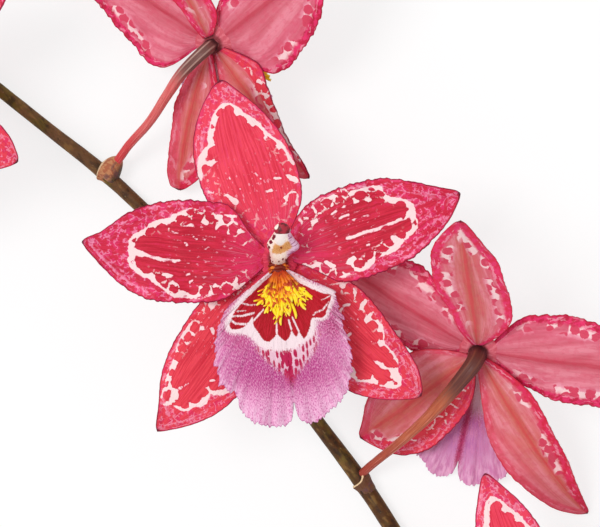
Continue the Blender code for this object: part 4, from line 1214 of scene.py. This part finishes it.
# %% Finishes of the stem, pedicels and bracts
def stem_finish():
    """Brown skin with olive patches, fine streaks and small pale lenticels."""
    f = Finish("stem_skin")
    spot = f.spot()
    x, y, z = f.split(spot)
    long = f.join(x * 110.0, y * 800.0, z * 800.0)
    streak = f.noise(long, 1.0, 3.0, flat=False)
    patch = f.noise(spot, 130.0, 4.0, flat=False)
    mottle = f.noise(f.join(x * 0.5, y, z), 620.0, 3.0, flat=False)
    dust = f.noise(spot, 1500.0, 2.0, flat=False)
    colour = f.mix(rgb(84, 52, 22), rgb(112, 94, 36), patch.ease(0.46, 0.60) * 0.75)
    colour = f.mix(colour, rgb(136, 100, 68), x.ease(0.02, 0.09) * patch.ease(0.60, 0.44) * 0.7)
    colour = f.mix(colour, rgb(46, 30, 18), mottle.ease(0.50, 0.34) * 0.75)
    colour = f.mix(colour, rgb(150, 114, 60), mottle.ease(0.54, 0.68) * 0.5)
    colour = f.mix(colour, rgb(46, 32, 24), streak.ease(0.44, 0.30) * 0.5)
    colour = f.mix(colour, rgb(176, 152, 108), dust.ease(0.66, 0.76) * 0.4)
    return f.surface(colour, 0.46 + 0.2 * patch, streak + mottle * 0.6 + dust * 0.4, 0.0002,
                     Specular_IOR_Level=0.2)


def pedicel_finish(name, foot, middle, ovary, ridge):
    """Streaked skin that changes from the foot to a ridged ovary; its end is dark."""
    f = Finish(name)
    way = f.number("way")
    turn = f.number("round")
    spot = f.spot()
    streak = f.noise(f.join(way * 6.0, turn * 30.0), 1.0, 3.0)
    patch = f.noise(spot, 260.0, 3.0, flat=False)
    dust = f.noise(spot, 1500.0, 2.0, flat=False)
    colour = f.mix(foot, middle, (way + (patch - 0.5) * 0.3).ease(0.06, 0.4))
    colour = f.mix(colour, foot, streak.ease(0.50, 0.36) * 0.55)
    colour = f.mix(colour, rgb(242, 158, 146), streak.ease(0.56, 0.70) * way.ease(0.8, 0.6) * 0.5)
    late = (way + (streak - 0.5) * 0.12).ease(0.62, 0.80)
    colour = f.mix(colour, ovary, late)
    crown = abs(((turn * 6.0) % 1.0) - 0.5).ease(0.30, 0.46) * (0.6 + 0.8 * (streak - 0.3))
    colour = f.mix(colour, ridge, late * crown * way.ease(0.99, 0.93) * 0.8)
    colour = f.mix(colour, rgb(44, 16, 18), way.ease(0.92, 0.985) * 0.9)
    colour = f.mix(colour, rgb(110, 26, 36), dust.ease(0.62, 0.74) * 0.3)
    return f.surface(colour, 0.42 + 0.15 * streak, streak + dust * 0.3, 0.00015,
                     Specular_IOR_Level=0.4)


def bract_finish():
    """Brown below like the stem, ochre above, and a pale papery rim."""
    f = Finish("bract_paper")
    flat = f.read("flat")
    along_it, round_it, hip = f.split(flat)
    rim = f.split(f.read("depths"))[0]
    streak = f.noise(f.join(round_it * 1.6, along_it * 0.7), 1.6, 3.0)
    dust = f.noise(flat, 2.6, 3.0)
    patch = f.noise(flat, 0.7, 2.0)
    colour = f.mix(rgb(74, 54, 32), rgb(112, 88, 50), dust.ease(0.40, 0.62))
    ochre = f.mix(rgb(196, 136, 92), rgb(172, 100, 66), streak.ease(0.42, 0.62))
    ochre = f.mix(rgb(92, 58, 34), ochre, hip.ease(0.4, 1.2) * 0.9 + 0.1)
    colour = f.mix(colour, ochre, (rim + (patch - 0.5) * 1.2).ease(4.0, 2.9))
    colour = f.mix(colour, rgb(96, 62, 66), patch.ease(0.52, 0.40) * rim.ease(1.4, 2.4) * 0.7)
    colour = f.mix(colour, rgb(236, 208, 164), (rim + (dust - 0.5) * 0.2).ease(0.42, 0.26))
    return f.surface(colour, 0.55 + 0.2 * dust, streak + dust * 0.5, 0.0002,
                     Specular_IOR_Level=0.35)


# %% Paths of the stem and pedicels
PEDICEL_GIRTHS = [0.95, 1.0, 1.1, 1.25, 1.45, 1.7, 2.1]


def stem_path():
    """Points and girths of the stem, closer together towards its rounded tip."""
    path = np.array(STEM_PATH)
    x = np.concatenate([np.linspace(path[0, 0], 81.3, 150), [83, 84.5, 86, 87, 88, 89, 89.6, 90]])
    y = smooth(path[:, 0], path[:, 1], x)
    girth = np.interp(x, path[:, 0], path[:, 2])
    for flower in FLOWERS:
        girth = girth * (1 + 0.06 * np.exp(-(((x - flower["node"]) / 1.6) ** 2)))
    girth = np.minimum(girth, STEM_HEIGHT)
    return np.stack([x, y, np.full_like(x, STEM_HEIGHT)], axis=1), girth


def pedicel_path(flower):
    """Points and girths of a pedicel from its node to the back of its flower."""
    node, _, radius = on_stem(flower["node"] + flower.get("foot", 1.8))
    leaves = direction(*flower["leaves"])
    facing = flower_axes(flower)[:, 2]
    centre = np.array(flower["centre"])
    foot = node + leaves * (radius + PEDICEL_SEAT)
    way = [foot, foot + leaves * 2.7, *flower["way"]]
    way += [centre - facing * 4.6, centre - facing * 0.2]
    girths = smooth(np.linspace(0, 1, 7), PEDICEL_GIRTHS, np.linspace(0, 1, 64))
    girths = girths[0] + (girths - girths[0]) * (flower.get("ovary", 1.0) * 1.6 - 0.6)
    return along(way, 64), girths * 0.97


def length_of(path):
    """Length of a path through its points."""
    return float(np.linalg.norm(np.diff(path, axis=0), axis=1).sum())


print("stem in mm:", round(length_of(stem_path()[0]), 1))
print("pedicels in mm:", [round(length_of(pedicel_path(flower)[0]), 1) for flower in FLOWERS])

# %% [markdown]
# A sheath is lofted through rings round the stem. It grows wider towards the pedicel,
# turns in at its rim and has a thickness of its own there.

# %% Shape of a sheath
def loft(rings):
    """Vertices and faces of a closed body through rings of equal count."""
    sides = len(rings[0])
    faces = [list(range(sides))[::-1]]
    for k in range(len(rings) - 1):
        for i in range(sides):
            j = (i + 1) % sides
            a = k * sides
            b = a + sides
            faces.append([a + i, a + j, b + j, b + i])
    faces.append([(len(rings) - 1) * sides + i for i in range(sides)])
    return np.vstack(rings), faces


# How far a sheath reaches back from its rim, the height below which its underside is
# pressed flat by the table, and its girth over the stem's along it.
SHEATH_LENGTH = 4.6
PRESSED = 0.4
SHEATH_RISE = ([0, 0.35, 0.6, 0.78, 0.9, 0.96, 1.0], [-0.35, 0.02, 0.10, 0.34, 0.52, 0.46, 0.32])
print("a sheath's length in mm:", SHEATH_LENGTH)


def add_bract(flower, finish):
    """The swelling of the node with its sheath, whose rim rises towards the pedicel."""
    sides, steps = 64, 30
    turn = 2 * np.pi * np.arange(sides) / sides
    facing = np.cos(turn)
    hip = flower.get("hip", 0.2)
    ahead_by = 0.5 + flower.get("ahead", 0.6)
    rings, flat, rim = [], [], []
    for share in [*np.linspace(0, 1, steps), 1.0, 1.0]:
        inner = len(rings) - steps + 1 if len(rings) >= steps else 0
        back = SHEATH_LENGTH * (1 - share)
        point, ahead, radius = on_stem(flower["node"] + ahead_by - back)
        outwards = unit(np.cross(np.cross(ahead, direction(flower["leaves"][0], 34)), ahead))
        other = np.cross(ahead, outwards)
        swell = abs(math.sin(math.pi * share**1.1)) ** 0.75 * hip
        reach = radius + smooth(*SHEATH_RISE, share) - 0.5 * inner
        reach = reach + swell * np.clip(facing, 0, 1) ** 1.3 + 0.04 * np.cos(9 * turn) * share
        ring = np.cos(turn)[:, None] * outwards + np.sin(turn)[:, None] * other
        lean = flower.get("tilt", 1.6) * np.clip(facing, 0, 1) ** 4 - 0.3
        lean = share**2 * (lean + flower.get("slant", 0.0) * facing) - 0.12 * inner
        rings.append(point + reach[:, None] * ring + lean[:, None] * ahead)
        flat.append(np.column_stack([0 * turn + SHEATH_LENGTH * share, 2.6 * np.abs(turn - np.pi),
                                     0 * turn + hip]))
        rim.append(np.column_stack([0 * turn + back, 0 * turn, 0 * turn]))
    vertices, faces = loft(rings)
    # The underside is pressed flat on the table.
    vertices = np.array(vertices)
    low = np.minimum(vertices[:, 2], PRESSED)
    vertices[:, 2] += PRESSED * np.exp(low / PRESSED - 1) - low
    node = f"{flower['name']}_bract"
    piece = new_mesh(f"{node}_fine", vertices, faces,
                     {"flat": np.vstack(flat), "depths": np.vstack(rim)})
    register(piece, finish, node)

# %% Make the stem, pedicels and sheaths
PLAIN = {"Ribs": 0.0, "Rib_Depth": 0.0, "Ribs_From": 1.0}  # a body without ribs
register(grow("stem_fine", [stem_path()], Sides=28, Unevenness=0.00012, Seed=2.0,
              Finish=stem_finish(), **PLAIN), None, "stem")
red_stalk = pedicel_finish("pedicel_red", rgb(206, 50, 58), rgb(220, 108, 106),
                           rgb(116, 74, 68), rgb(206, 172, 158))
brown_stalk = pedicel_finish("pedicel_brown", rgb(160, 58, 42), rgb(188, 98, 62),
                             rgb(96, 46, 38), rgb(128, 72, 54))
paper = bract_finish()
for number, flower in enumerate(FLOWERS):
    node = f"{flower['name']}_pedicel"
    finish = brown_stalk if number == 1 else red_stalk
    piece = grow(f"{node}_fine", [pedicel_path(flower)], Sides=36, Ribs=6.0, Rib_Depth=0.00010,
                 Ribs_From=0.5, Unevenness=0.00012, Seed=float(number), Finish=finish)
    register(piece, None, node)
    add_bract(flower, paper)

# %% [markdown]
# ## The column
# The column stands out of the flower's middle and arches up: a stout body with a round
# back, two wings, a hollow stigma on its lower side and the anther cap at its end. It is
# lofted through rings, whose shape changes from a plain round foot to the winged head.

# %% Shape of the column
COLUMN_WAY = [(0.0, 0.0, -0.35), (0.0, 0.0, 1.7), (0.2, 0.7, 3.8), (0.6, 2.1, 6.3),
              (0.9, 3.9, 8.4), (1.0, 5.4, 9.6), (1.0, 6.6, 10.0)]
COLUMN_RADII = [1.0, 1.75, 1.9, 2.2, 2.3, 2.0, 0.9]
COLUMN_GRID = (80, 88)  # rings, and points round each
CAP_HEADING = np.array([0.1, 0.78, 0.62])
CAP_RADII = [1.6, 1.7, 1.35]
CUSHION_RADII = [0.75, 4.3, 4.3]
# Markings in the flower's plane, in millimetres: outlines, then round blotches (x, y, radius).
STIGMA = [(-0.75, 3.15), (0.6, 2.5), (2.3, 3.9), (3.2, 2.05), (1.4, 1.15), (0.2, 0.75),
          (-1.5, 0.95)]
BEAK = [(-0.75, 5.4), (2.0, 5.4), (1.7, 3.7), (0.75, 2.4), (-0.1, 2.9), (-0.8, 3.6)]
BLOTCHES = [(-0.75, 4.5, 0.32), (-0.95, 4.1, 0.28), (-1.45, 3.35, 0.36), (-1.85, 2.2, 0.3),
            (-2.1, 1.65, 0.34), (-2.4, 1.15, 0.28), (-2.0, 0.0, 0.5), (-1.7, -0.5, 0.3),
            (-2.6, -0.9, 0.4), (-2.3, -1.45, 0.36), (-1.1, -0.75, 0.14), (1.1, -0.25, 0.2),
            (1.7, -0.45, 0.2), (0.75, 2.15, 0.2), (-2.1, 2.75, 0.14), (0.2, -0.7, 0.13)]
print("the column's length in mm:", round(length_of(np.array(COLUMN_WAY)), 1))


def column_rings(count, sides, arch):
    """Rings of the column, and each point's share along it and turn around it."""
    points = along(np.array(COLUMN_WAY) * [1.0, arch, 1.0], count)
    share = np.linspace(0, 1, count)
    radii = smooth(np.linspace(0, 1, 7), COLUMN_RADII, share)
    heading = unit(np.gradient(points, axis=0))
    turn = 2 * np.pi * np.arange(sides) / sides
    rings = []
    for point, ahead, radius, s in zip(points, heading, radii, share):
        back = unit(np.cross(ahead, [1.0, 0.0, 0.0]))
        right = np.cross(back, ahead)
        near = math.exp(-(((s - 0.62) / 0.13) ** 2))
        wing = (0.30 + 0.38 * (np.cos(turn) > 0)) * near * np.abs(np.cos(turn)) ** 9
        hollow = 0.42 * near * np.clip(-np.sin(turn), 0, 1) ** 3
        reach = radius * (1 + wing - hollow)
        ring = np.cos(turn)[:, None] * right + np.sin(turn)[:, None] * back
        rings.append(point + reach[:, None] * ring)
    return rings, share, turn


def dome(centre, radii, axes, rows=20, sides=32):
    """Vertices and faces of an egg shape; its first axis is the long one."""
    rings = []
    for s in np.linspace(0.04, 0.96, rows):
        along_it = -math.cos(math.pi * s)
        wide = math.sin(math.pi * s)
        turn = 2 * np.pi * np.arange(sides) / sides
        beak = 1 - 0.35 * max(along_it, 0) ** 2
        rings.append(centre + radii[0] * along_it * axes[0]
                     + radii[1] * wide * beak * np.cos(turn)[:, None] * axes[1]
                     + radii[2] * wide * beak * np.sin(turn)[:, None] * axes[2])
    return loft(rings)

# %% [markdown]
# The column is cream with maroon blotches, an ochre hollow with a pale flap over it,
# and a violet wing. These marks have outlines, so they are stored as distances, as on
# the petals. The cushion below it, from which the petals grow, is streaked outwards.

# %% Finishes of the column
def column_finish():
    """Cream with maroon blotches on the left, an ochre stigma and a violet wing."""
    f = Finish("column_skin")
    flat = f.read("flat")
    right, share, front = f.split(f.read("place"))
    stigma, beak, blotch = f.split(f.read("depths"))
    dust = f.noise(flat, 3.0, 2.0)
    grain = f.noise(flat, 1.6, 2.0)
    colour = f.mix(rgb(252, 234, 218), rgb(240, 190, 196), dust.ease(0.42, 0.7) * 0.5)
    side = (right + (grain - 0.5) * 0.4).ease(0.5, 0.8) * share.ease(0.40, 0.52)
    colour = f.mix(colour, rgb(240, 202, 228), side)
    streak = f.noise(f.join(share * 42.0, right * 3.0), 1.0, 3.0)
    tip = side * right.ease(0.70, 0.95) * share.ease(0.70, 0.58)
    colour = f.mix(colour, rgb(150, 30, 96), side * streak.ease(0.54, 0.62) * 0.8)
    colour = f.mix(colour, rgb(176, 60, 128), tip * grain.ease(0.40, 0.56) * 0.8)
    ochre = f.mix(rgb(232, 172, 106), rgb(204, 122, 60), dust.ease(0.45, 0.66) * 0.7)
    ahead = front.ease(-0.2, 0.2)
    hollow = (stigma + (grain - 0.5) * 0.5).ease(-0.15, 0.25)
    colour = f.mix(colour, ochre, hollow * ahead)
    flap = (beak + (grain - 0.5) * 0.3).ease(-0.1, 0.15)
    colour = f.mix(colour, rgb(240, 226, 220), flap * ahead)
    maroon = (blotch + (grain - 0.5) * 0.35).ease(0.06, -0.06) * front.ease(-0.5, -0.2)
    colour = f.mix(colour, rgb(116, 12, 34), maroon)
    colour = f.mix(colour, rgb(226, 130, 150), front.ease(-0.1, -0.6) * 0.6)
    colour = f.mix(colour, rgb(176, 64, 76), share.ease(0.10, 0.05))
    return f.surface(colour, 0.35 + 0.15 * dust, dust, 0.0001, Specular_IOR_Level=0.35)


def cap_finish():
    """Dark red, with a seam and the pale window of the anther."""
    f = Finish("anther_cap")
    spot = f.spot()
    dust = f.noise(spot, 900.0, 3.0, flat=False)
    colour = f.mix(rgb(168, 34, 52), rgb(96, 12, 26), dust.ease(0.42, 0.62))
    colour = f.mix(colour, rgb(226, 150, 150), dust.ease(0.66, 0.76) * 0.5)
    x, y, front = f.split(f.read("place"))
    away = ((x + 0.35) ** 2.0 + ((y - 0.75) * 0.7) ** 2.0) ** 0.5 + (dust - 0.5) * 0.3
    colour = f.mix(colour, rgb(252, 238, 226), away.ease(0.62, 0.45) * front.ease(-0.3, 0.2))
    seam = abs(x + 1.15) + (dust - 0.5) * 0.3
    colour = f.mix(colour, rgb(40, 8, 14), seam.ease(0.4, 0.15) * 0.7)
    return f.surface(colour, 0.35 + 0.2 * dust, dust, 0.0001, Specular_IOR_Level=0.4)


def column_marks(plane):
    """Depth inside the stigma and the beak, and the distance to the nearest blotch."""
    stigma = depth_inside(plane, rounded(np.array(STIGMA)))
    beak = depth_inside(plane, rounded(np.array(BEAK)))
    spots = [np.hypot(plane[:, 0] - x, (plane[:, 1] - y) * 0.8) - r for x, y, r in BLOTCHES]
    return np.column_stack([stigma, beak, np.min(spots, axis=0)])


def receptacle_finish():
    """The cushion that the sepals and petals grow from, streaked outwards."""
    f = Finish("receptacle_skin")
    flat = f.read("flat")
    x, y, z = f.split(flat)
    turn = f.node("ShaderNodeMath", {"operation": "ARCTAN2"}, {0: y, 1: x})
    away = (x * x + y * y) ** 0.5
    streak = f.noise(f.join(turn * 5.0, away * 0.6), 1.0, 2.0)
    colour = f.mix(rgb(210, 90, 106), rgb(226, 116, 130), streak.ease(0.44, 0.62))
    face = f.mix(rgb(206, 42, 74), rgb(224, 62, 92), streak.ease(0.44, 0.62))
    colour = f.mix(colour, face, z.ease(0.9, 1.2))
    colour = f.mix(colour, rgb(120, 40, 44), away.ease(2.6, 1.8) * 0.8)
    return f.surface(colour, 0.5 + 0.1 * streak, streak, 0.0001, Specular_IOR_Level=0.22)

# %% Make the columns and anther caps
def add_to_column(flower, name, body, values, finish):
    """A piece in the flower's own axes that stands for the column's solid."""
    vertices, faces = body
    piece = new_mesh(f"{flower['name']}_{name}", place(flower, turned(flower, vertices)), faces,
                     values)
    register(piece, finish, f"{flower['name']}_column")


def add_column(flower, finish, cap, base):
    """The column, its anther cap and the cushion at its foot."""
    arch = flower.get("arch", 1.0)
    count, sides = COLUMN_GRID
    rings, share, turn = column_rings(count, sides, arch)
    body = loft(rings)
    flat = np.column_stack([np.tile(turn * 2.3, count), np.repeat(share * 14.0, sides),
                            np.zeros(count * sides)])
    where = np.column_stack([np.tile(np.cos(turn), count), np.repeat(share, sides),
                             np.tile(-np.sin(turn), count)])
    add_to_column(flower, "column_fine", body,
                  {"flat": flat, "place": where, "depths": column_marks(body[0][:, :2])}, finish)
    ahead = unit(CAP_HEADING)
    back = unit(np.cross(ahead, [1.0, 0.0, 0.0]))
    middle = np.array([0.95, 6.0 * arch, 10.15])
    body = dome(middle, CAP_RADII, [ahead, np.cross(back, ahead), back])
    add_to_column(flower, "anther_cap", body, {"place": body[0] - middle + [0.95, 0.0, 0.0]}, cap)
    axes = np.array([[0, 0, -1.0], [1.0, 0, 0], [0, -1.0, 0]])
    body = dome(np.array([0.0, 0.0, 1.1]), CUSHION_RADII, axes)
    add_to_column(flower, "receptacle", body, {"flat": body[0]}, base)


column_skin = column_finish()
cap_skin = cap_finish()
base_skin = receptacle_finish()
for flower in FLOWERS:
    add_column(flower, column_skin, cap_skin, base_skin)

# %% [markdown]
# ## The crest
# Below the column the lip carries a golden crest: a fan of fleshy fingers that lie close
# together at their root, and part and fork at their tips. Each finger is a path over the
# lip, and the stalk tree gives it its body. The jitter between them comes from a fixed
# seed. The callus, a few fleshy bars across the lip's foot, is made in the same way.

# %% Paths of the crest's fingers
CREST_TIPS = [(246, 9.4), (250, 10.0), (254, 9.8), (258, 10.4), (262, 10.2), (267, 10.9),
              (271, 11.4), (275, 12.0), (279, 11.4), (283, 11.8), (287, 11.0), (291, 11.4),
              (296, 11.2), (301, 11.0), (306, 11.4), (311, 11.4), (315, 10.4)]


def crest_paths(seed, size):
    """Paths and girths of the crest's fingers in the flower's axes, in layers."""
    draw = np.random.default_rng(seed)
    paths = []
    s = np.linspace(0, 1, 18)
    for layer, (reach_share, lift) in enumerate([(1.0, 0.2), (0.82, 0.75), (0.6, 1.25)]):
        for azimuth, reach in CREST_TIPS[layer // 2::1 + layer // 2]:
            azimuth = azimuth + draw.uniform(-2.5, 2.5)
            tip = reach * reach_share * draw.uniform(0.86, 1.06)
            root_turn = LIP_MIDDLE + (azimuth - LIP_MIDDLE) * 1.05
            out = 1.4 + (tip - 1.4) * s
            bend = draw.uniform(-8, 8) * s**2
            bend = bend + 2.4 * np.sin(draw.uniform(6, 10) * s + draw.uniform(0, 6))
            turn = np.radians(root_turn + (azimuth - root_turn) * s + bend * s)
            height = lip_height(out, np.degrees(turn), out / 30.0) + 0.3
            height = height + lift * np.sin(np.pi * np.clip(s * 0.85 + 0.15, 0, 1)) ** 0.6
            height = height + draw.uniform(-0.25, 0.5) * s**3
            way = np.stack([LIP_FOOT[0] + out * np.cos(turn), LIP_FOOT[1] + out * np.sin(turn),
                            height], axis=1)
            girth = smooth([0, 0.3, 0.6, 0.8, 0.93, 1], [0.28, 0.40, 0.30, 0.44, 0.34, 0.14], s)
            girth = girth * draw.uniform(0.75, 1.15)
            paths += forked(way, girth, draw)
    scale = np.array([size, size, 1.0])
    return [((way - [*LIP_FOOT, 0]) * scale + [*LIP_FOOT, 0], girth) for way, girth in paths]


def forked(way, girth, draw):
    """The finger itself and one to three short side fingers near its tip."""
    paths = [(way, girth)]
    for _ in range(int(draw.integers(1, 4))):
        start = int(draw.integers(9, 15))
        ahead = unit(way[start + 1] - way[start])
        aside = np.cross(ahead, [0, 0, 1.0]) * draw.choice([-1, 1])
        t = np.linspace(0, 1, 7)[:, None]
        reach = draw.uniform(1.1, 2.0)
        twig = way[start] + reach * t * (ahead + draw.uniform(0.3, 0.7) * aside) + [0, 0, 0.15]
        paths.append((twig, np.linspace(0.32, 0.12, 7)))
    return paths


print("fingers and forks of the first crest:", len(crest_paths(500, 1.0)))

# %% Paths of the callus
# Bars of the callus: place along the flower, height, half-length and girth.
CALLUS_BARS = [(-0.7, 2.8, 2.0, 0.46), (-1.35, 3.15, 2.2, 0.44), (-2.0, 3.5, 2.2, 0.46),
               (-2.7, 3.6, 2.1, 0.44), (-3.3, 3.5, 1.7, 0.36)]


def callus_paths(size):
    """Fleshy bars across the lip's foot, between the column and the crest."""
    turn = np.linspace(-1, 1, 13)
    paths = []
    for y, z, half, girth in CALLUS_BARS:
        way = np.stack([0.15 + half * turn, y - 0.45 * turn**2 + 0.12 * np.cos(7 * turn + y),
                        z - 0.7 * turn**2], axis=1)
        scale = np.array([size, size, 1.0])
        paths.append((way * scale, girth * (1 - 0.55 * turn**2)))
    return paths


print("bars of the callus:", len(callus_paths(1.0)))

# %% Finishes of the crest and the callus
def crest_finish():
    """Red brown at the roots, gold at the tips, with a few dark specks."""
    f = Finish("crest_gold")
    way = f.number("way")
    spot = f.spot()
    dust = f.noise(spot, 900.0, 3.0, flat=False)
    drift = f.noise(spot, 330.0, 2.0, flat=False)
    colour = f.mix(rgb(200, 70, 12), rgb(244, 136, 14), (way + (dust - 0.5) * 0.5).ease(0.16, 0.52))
    colour = f.mix(colour, rgb(255, 224, 30), (way + (drift - 0.5) * 0.7).ease(0.50, 0.80))
    colour = f.mix(colour, rgb(255, 244, 150), way.ease(0.86, 1.0) * dust.ease(0.40, 0.60) * 0.6)
    red = drift.ease(0.50, 0.60) * way.ease(0.80, 0.45)
    colour = f.mix(colour, rgb(176, 34, 20), red * 0.85)
    colour = f.mix(colour, rgb(120, 24, 16), dust.ease(0.60, 0.70) * way.ease(0.7, 0.3) * 0.7)
    return f.surface(colour, 0.4 + 0.1 * dust, dust, 0.0001, Specular_IOR_Level=0.3)


def callus_finish():
    """Orange brown bars with dark red and pale patches."""
    f = Finish("callus_bars")
    turn = f.number("round")
    spot = f.spot()
    dust = f.noise(spot, 1100.0, 3.0, flat=False)
    drift = f.noise(spot, 650.0, 2.0, flat=False)
    colour = f.mix(rgb(226, 128, 36), rgb(186, 62, 18), dust.ease(0.42, 0.6))
    colour = f.mix(colour, rgb(112, 16, 12), drift.ease(0.45, 0.52) * 0.95)
    colour = f.mix(colour, rgb(250, 208, 120), dust.ease(0.64, 0.72) * 0.6)
    return f.surface(colour, 0.4 + 0.1 * turn, dust, 0.0001, Specular_IOR_Level=0.3)

# %% Make the crests
def on_lip(flower, paths):
    """Paths in the lip's axes moved to the spray, with girths at the flower's size."""
    more = flower.get("lip_turn", 0.0)
    return [(place(flower, turned(flower, way, more)), girth * flower["size"])
            for way, girth in paths]


gold = crest_finish()
callus = callus_finish()
for number, flower in enumerate(FLOWERS):
    paths = on_lip(flower, crest_paths(500 + number, flower["lip"]))
    for way in flower.get("stray", []):
        paths.append((place(flower, along(way, 12)), np.linspace(0.5, 0.28, 12)))
    piece = grow(f"{flower['name']}_crest", paths, Sides=10, Unevenness=0.00030,
                 Seed=float(number), Finish=gold, **PLAIN)
    register(piece, None, f"{flower['name']}_lip")
    piece = grow(f"{flower['name']}_callus", on_lip(flower, callus_paths(flower["lip"])), Sides=12,
                 Unevenness=0.00015, Seed=float(number), Finish=callus, **PLAIN)
    register(piece, None, f"{flower['name']}_lip")

# %% [markdown]
# ## Floor, light and camera
# The spray lies on a white table and is seen from straight above, as on a copy stand. The
# table is white to the camera yet keeps a soft shadow. A pale sky gives most of the
# light, and one broad sun gives the petals their shape, at a level at which a colour
# shows about as it was written.

# %% Floor
TABLE_REACH = 4.0
TABLE_TOP = -0.0002


def add_floor():
    """A wide white table under the spray."""
    mesh = bpy.data.meshes.new("table")
    corners = [(-1, -1), (1, -1), (1, 1), (-1, 1)]
    mesh.from_pydata([(TABLE_REACH * x, TABLE_REACH * y, TABLE_TOP) for x, y in corners],
                     [], [(0, 1, 2, 3)])
    table = bpy.data.objects.new("table", mesh)
    bpy.context.scene.collection.objects.link(table)
    f = Finish("table_white")
    plain = f.node("ShaderNodeBsdfDiffuse", {}, {"Color": (0.9, 0.9, 0.9)})
    glow = f.node("ShaderNodeEmission", {}, {"Color": (1.0, 1.0, 1.0), "Strength": 1.04})
    direct, glossy, through = [f.node("ShaderNodeLightPath", {}, {}, f"Is {kind} Ray")
                               for kind in ("Camera", "Glossy", "Transmission")]
    seen = direct.most(glossy).most(through)
    both = f.node("ShaderNodeMixShader", {}, {0: seen * 0.72, 1: plain, 2: glow})
    out = f.tree.nodes["Material Output"]
    f.tree.nodes.remove(f.shader)
    f.tree.links.new(both.socket, out.inputs["Surface"])
    mesh.materials.append(f.material)


add_floor()
print("top of the table in mm:", 1000 * TABLE_TOP)

# %% Light
SKY_STRENGTH = 0.67
SUN_STRENGTH = 1.47
SUN_WIDTH = 25.0
SUN_FROM = (0.45, 0.35, 1.0)


def add_light():
    """A pale sky and one soft sun from the upper left of the view."""
    scene = bpy.context.scene
    world = bpy.data.worlds.new("pale_sky")
    scene.world = world
    world.use_nodes = True
    sky = world.node_tree.nodes["Background"]
    sky.inputs["Color"].default_value = (1.0, 1.0, 1.0, 1.0)
    sky.inputs["Strength"].default_value = SKY_STRENGTH
    lamp = bpy.data.lights.new("broad_sun", "SUN")
    lamp.energy = SUN_STRENGTH
    lamp.angle = math.radians(SUN_WIDTH)
    sun = bpy.data.objects.new("broad_sun", lamp)
    sun.rotation_euler = Vector(SUN_FROM).to_track_quat("Z", "Y").to_euler()
    scene.collection.objects.link(sun)


add_light()
print("strength of the sky and of the sun:", SKY_STRENGTH, SUN_STRENGTH)

# %% Camera
CAMERA_HEIGHT = 0.729
CAMERA_SPOT = (0.0106, -0.0155)
CAMERA_LENS = 197.9
VIEW_TURN = -130.0


def add_camera():
    """Straight down, turned so that the front flower's top points up in the view."""
    lens = bpy.data.cameras.new("camera")
    lens.lens = CAMERA_LENS
    lens.sensor_width = 36.0
    lens.clip_start = 0.05
    camera = bpy.data.objects.new("camera", lens)
    camera.location = (*CAMERA_SPOT, CAMERA_HEIGHT)
    camera.rotation_euler = (0, 0, math.radians(VIEW_TURN))
    bpy.context.scene.collection.objects.link(camera)
    bpy.context.scene.camera = camera


add_camera()
bpy.context.scene.view_settings.view_transform = "Standard"
print("camera height in mm:", 1000 * CAMERA_HEIGHT)

# %% [markdown]
# ## A last update
# Each piece printed how far it reaches past its packed solid when it was added.
# At the end the view layer is updated once more.

# %% A last update
bpy.context.view_layer.update()
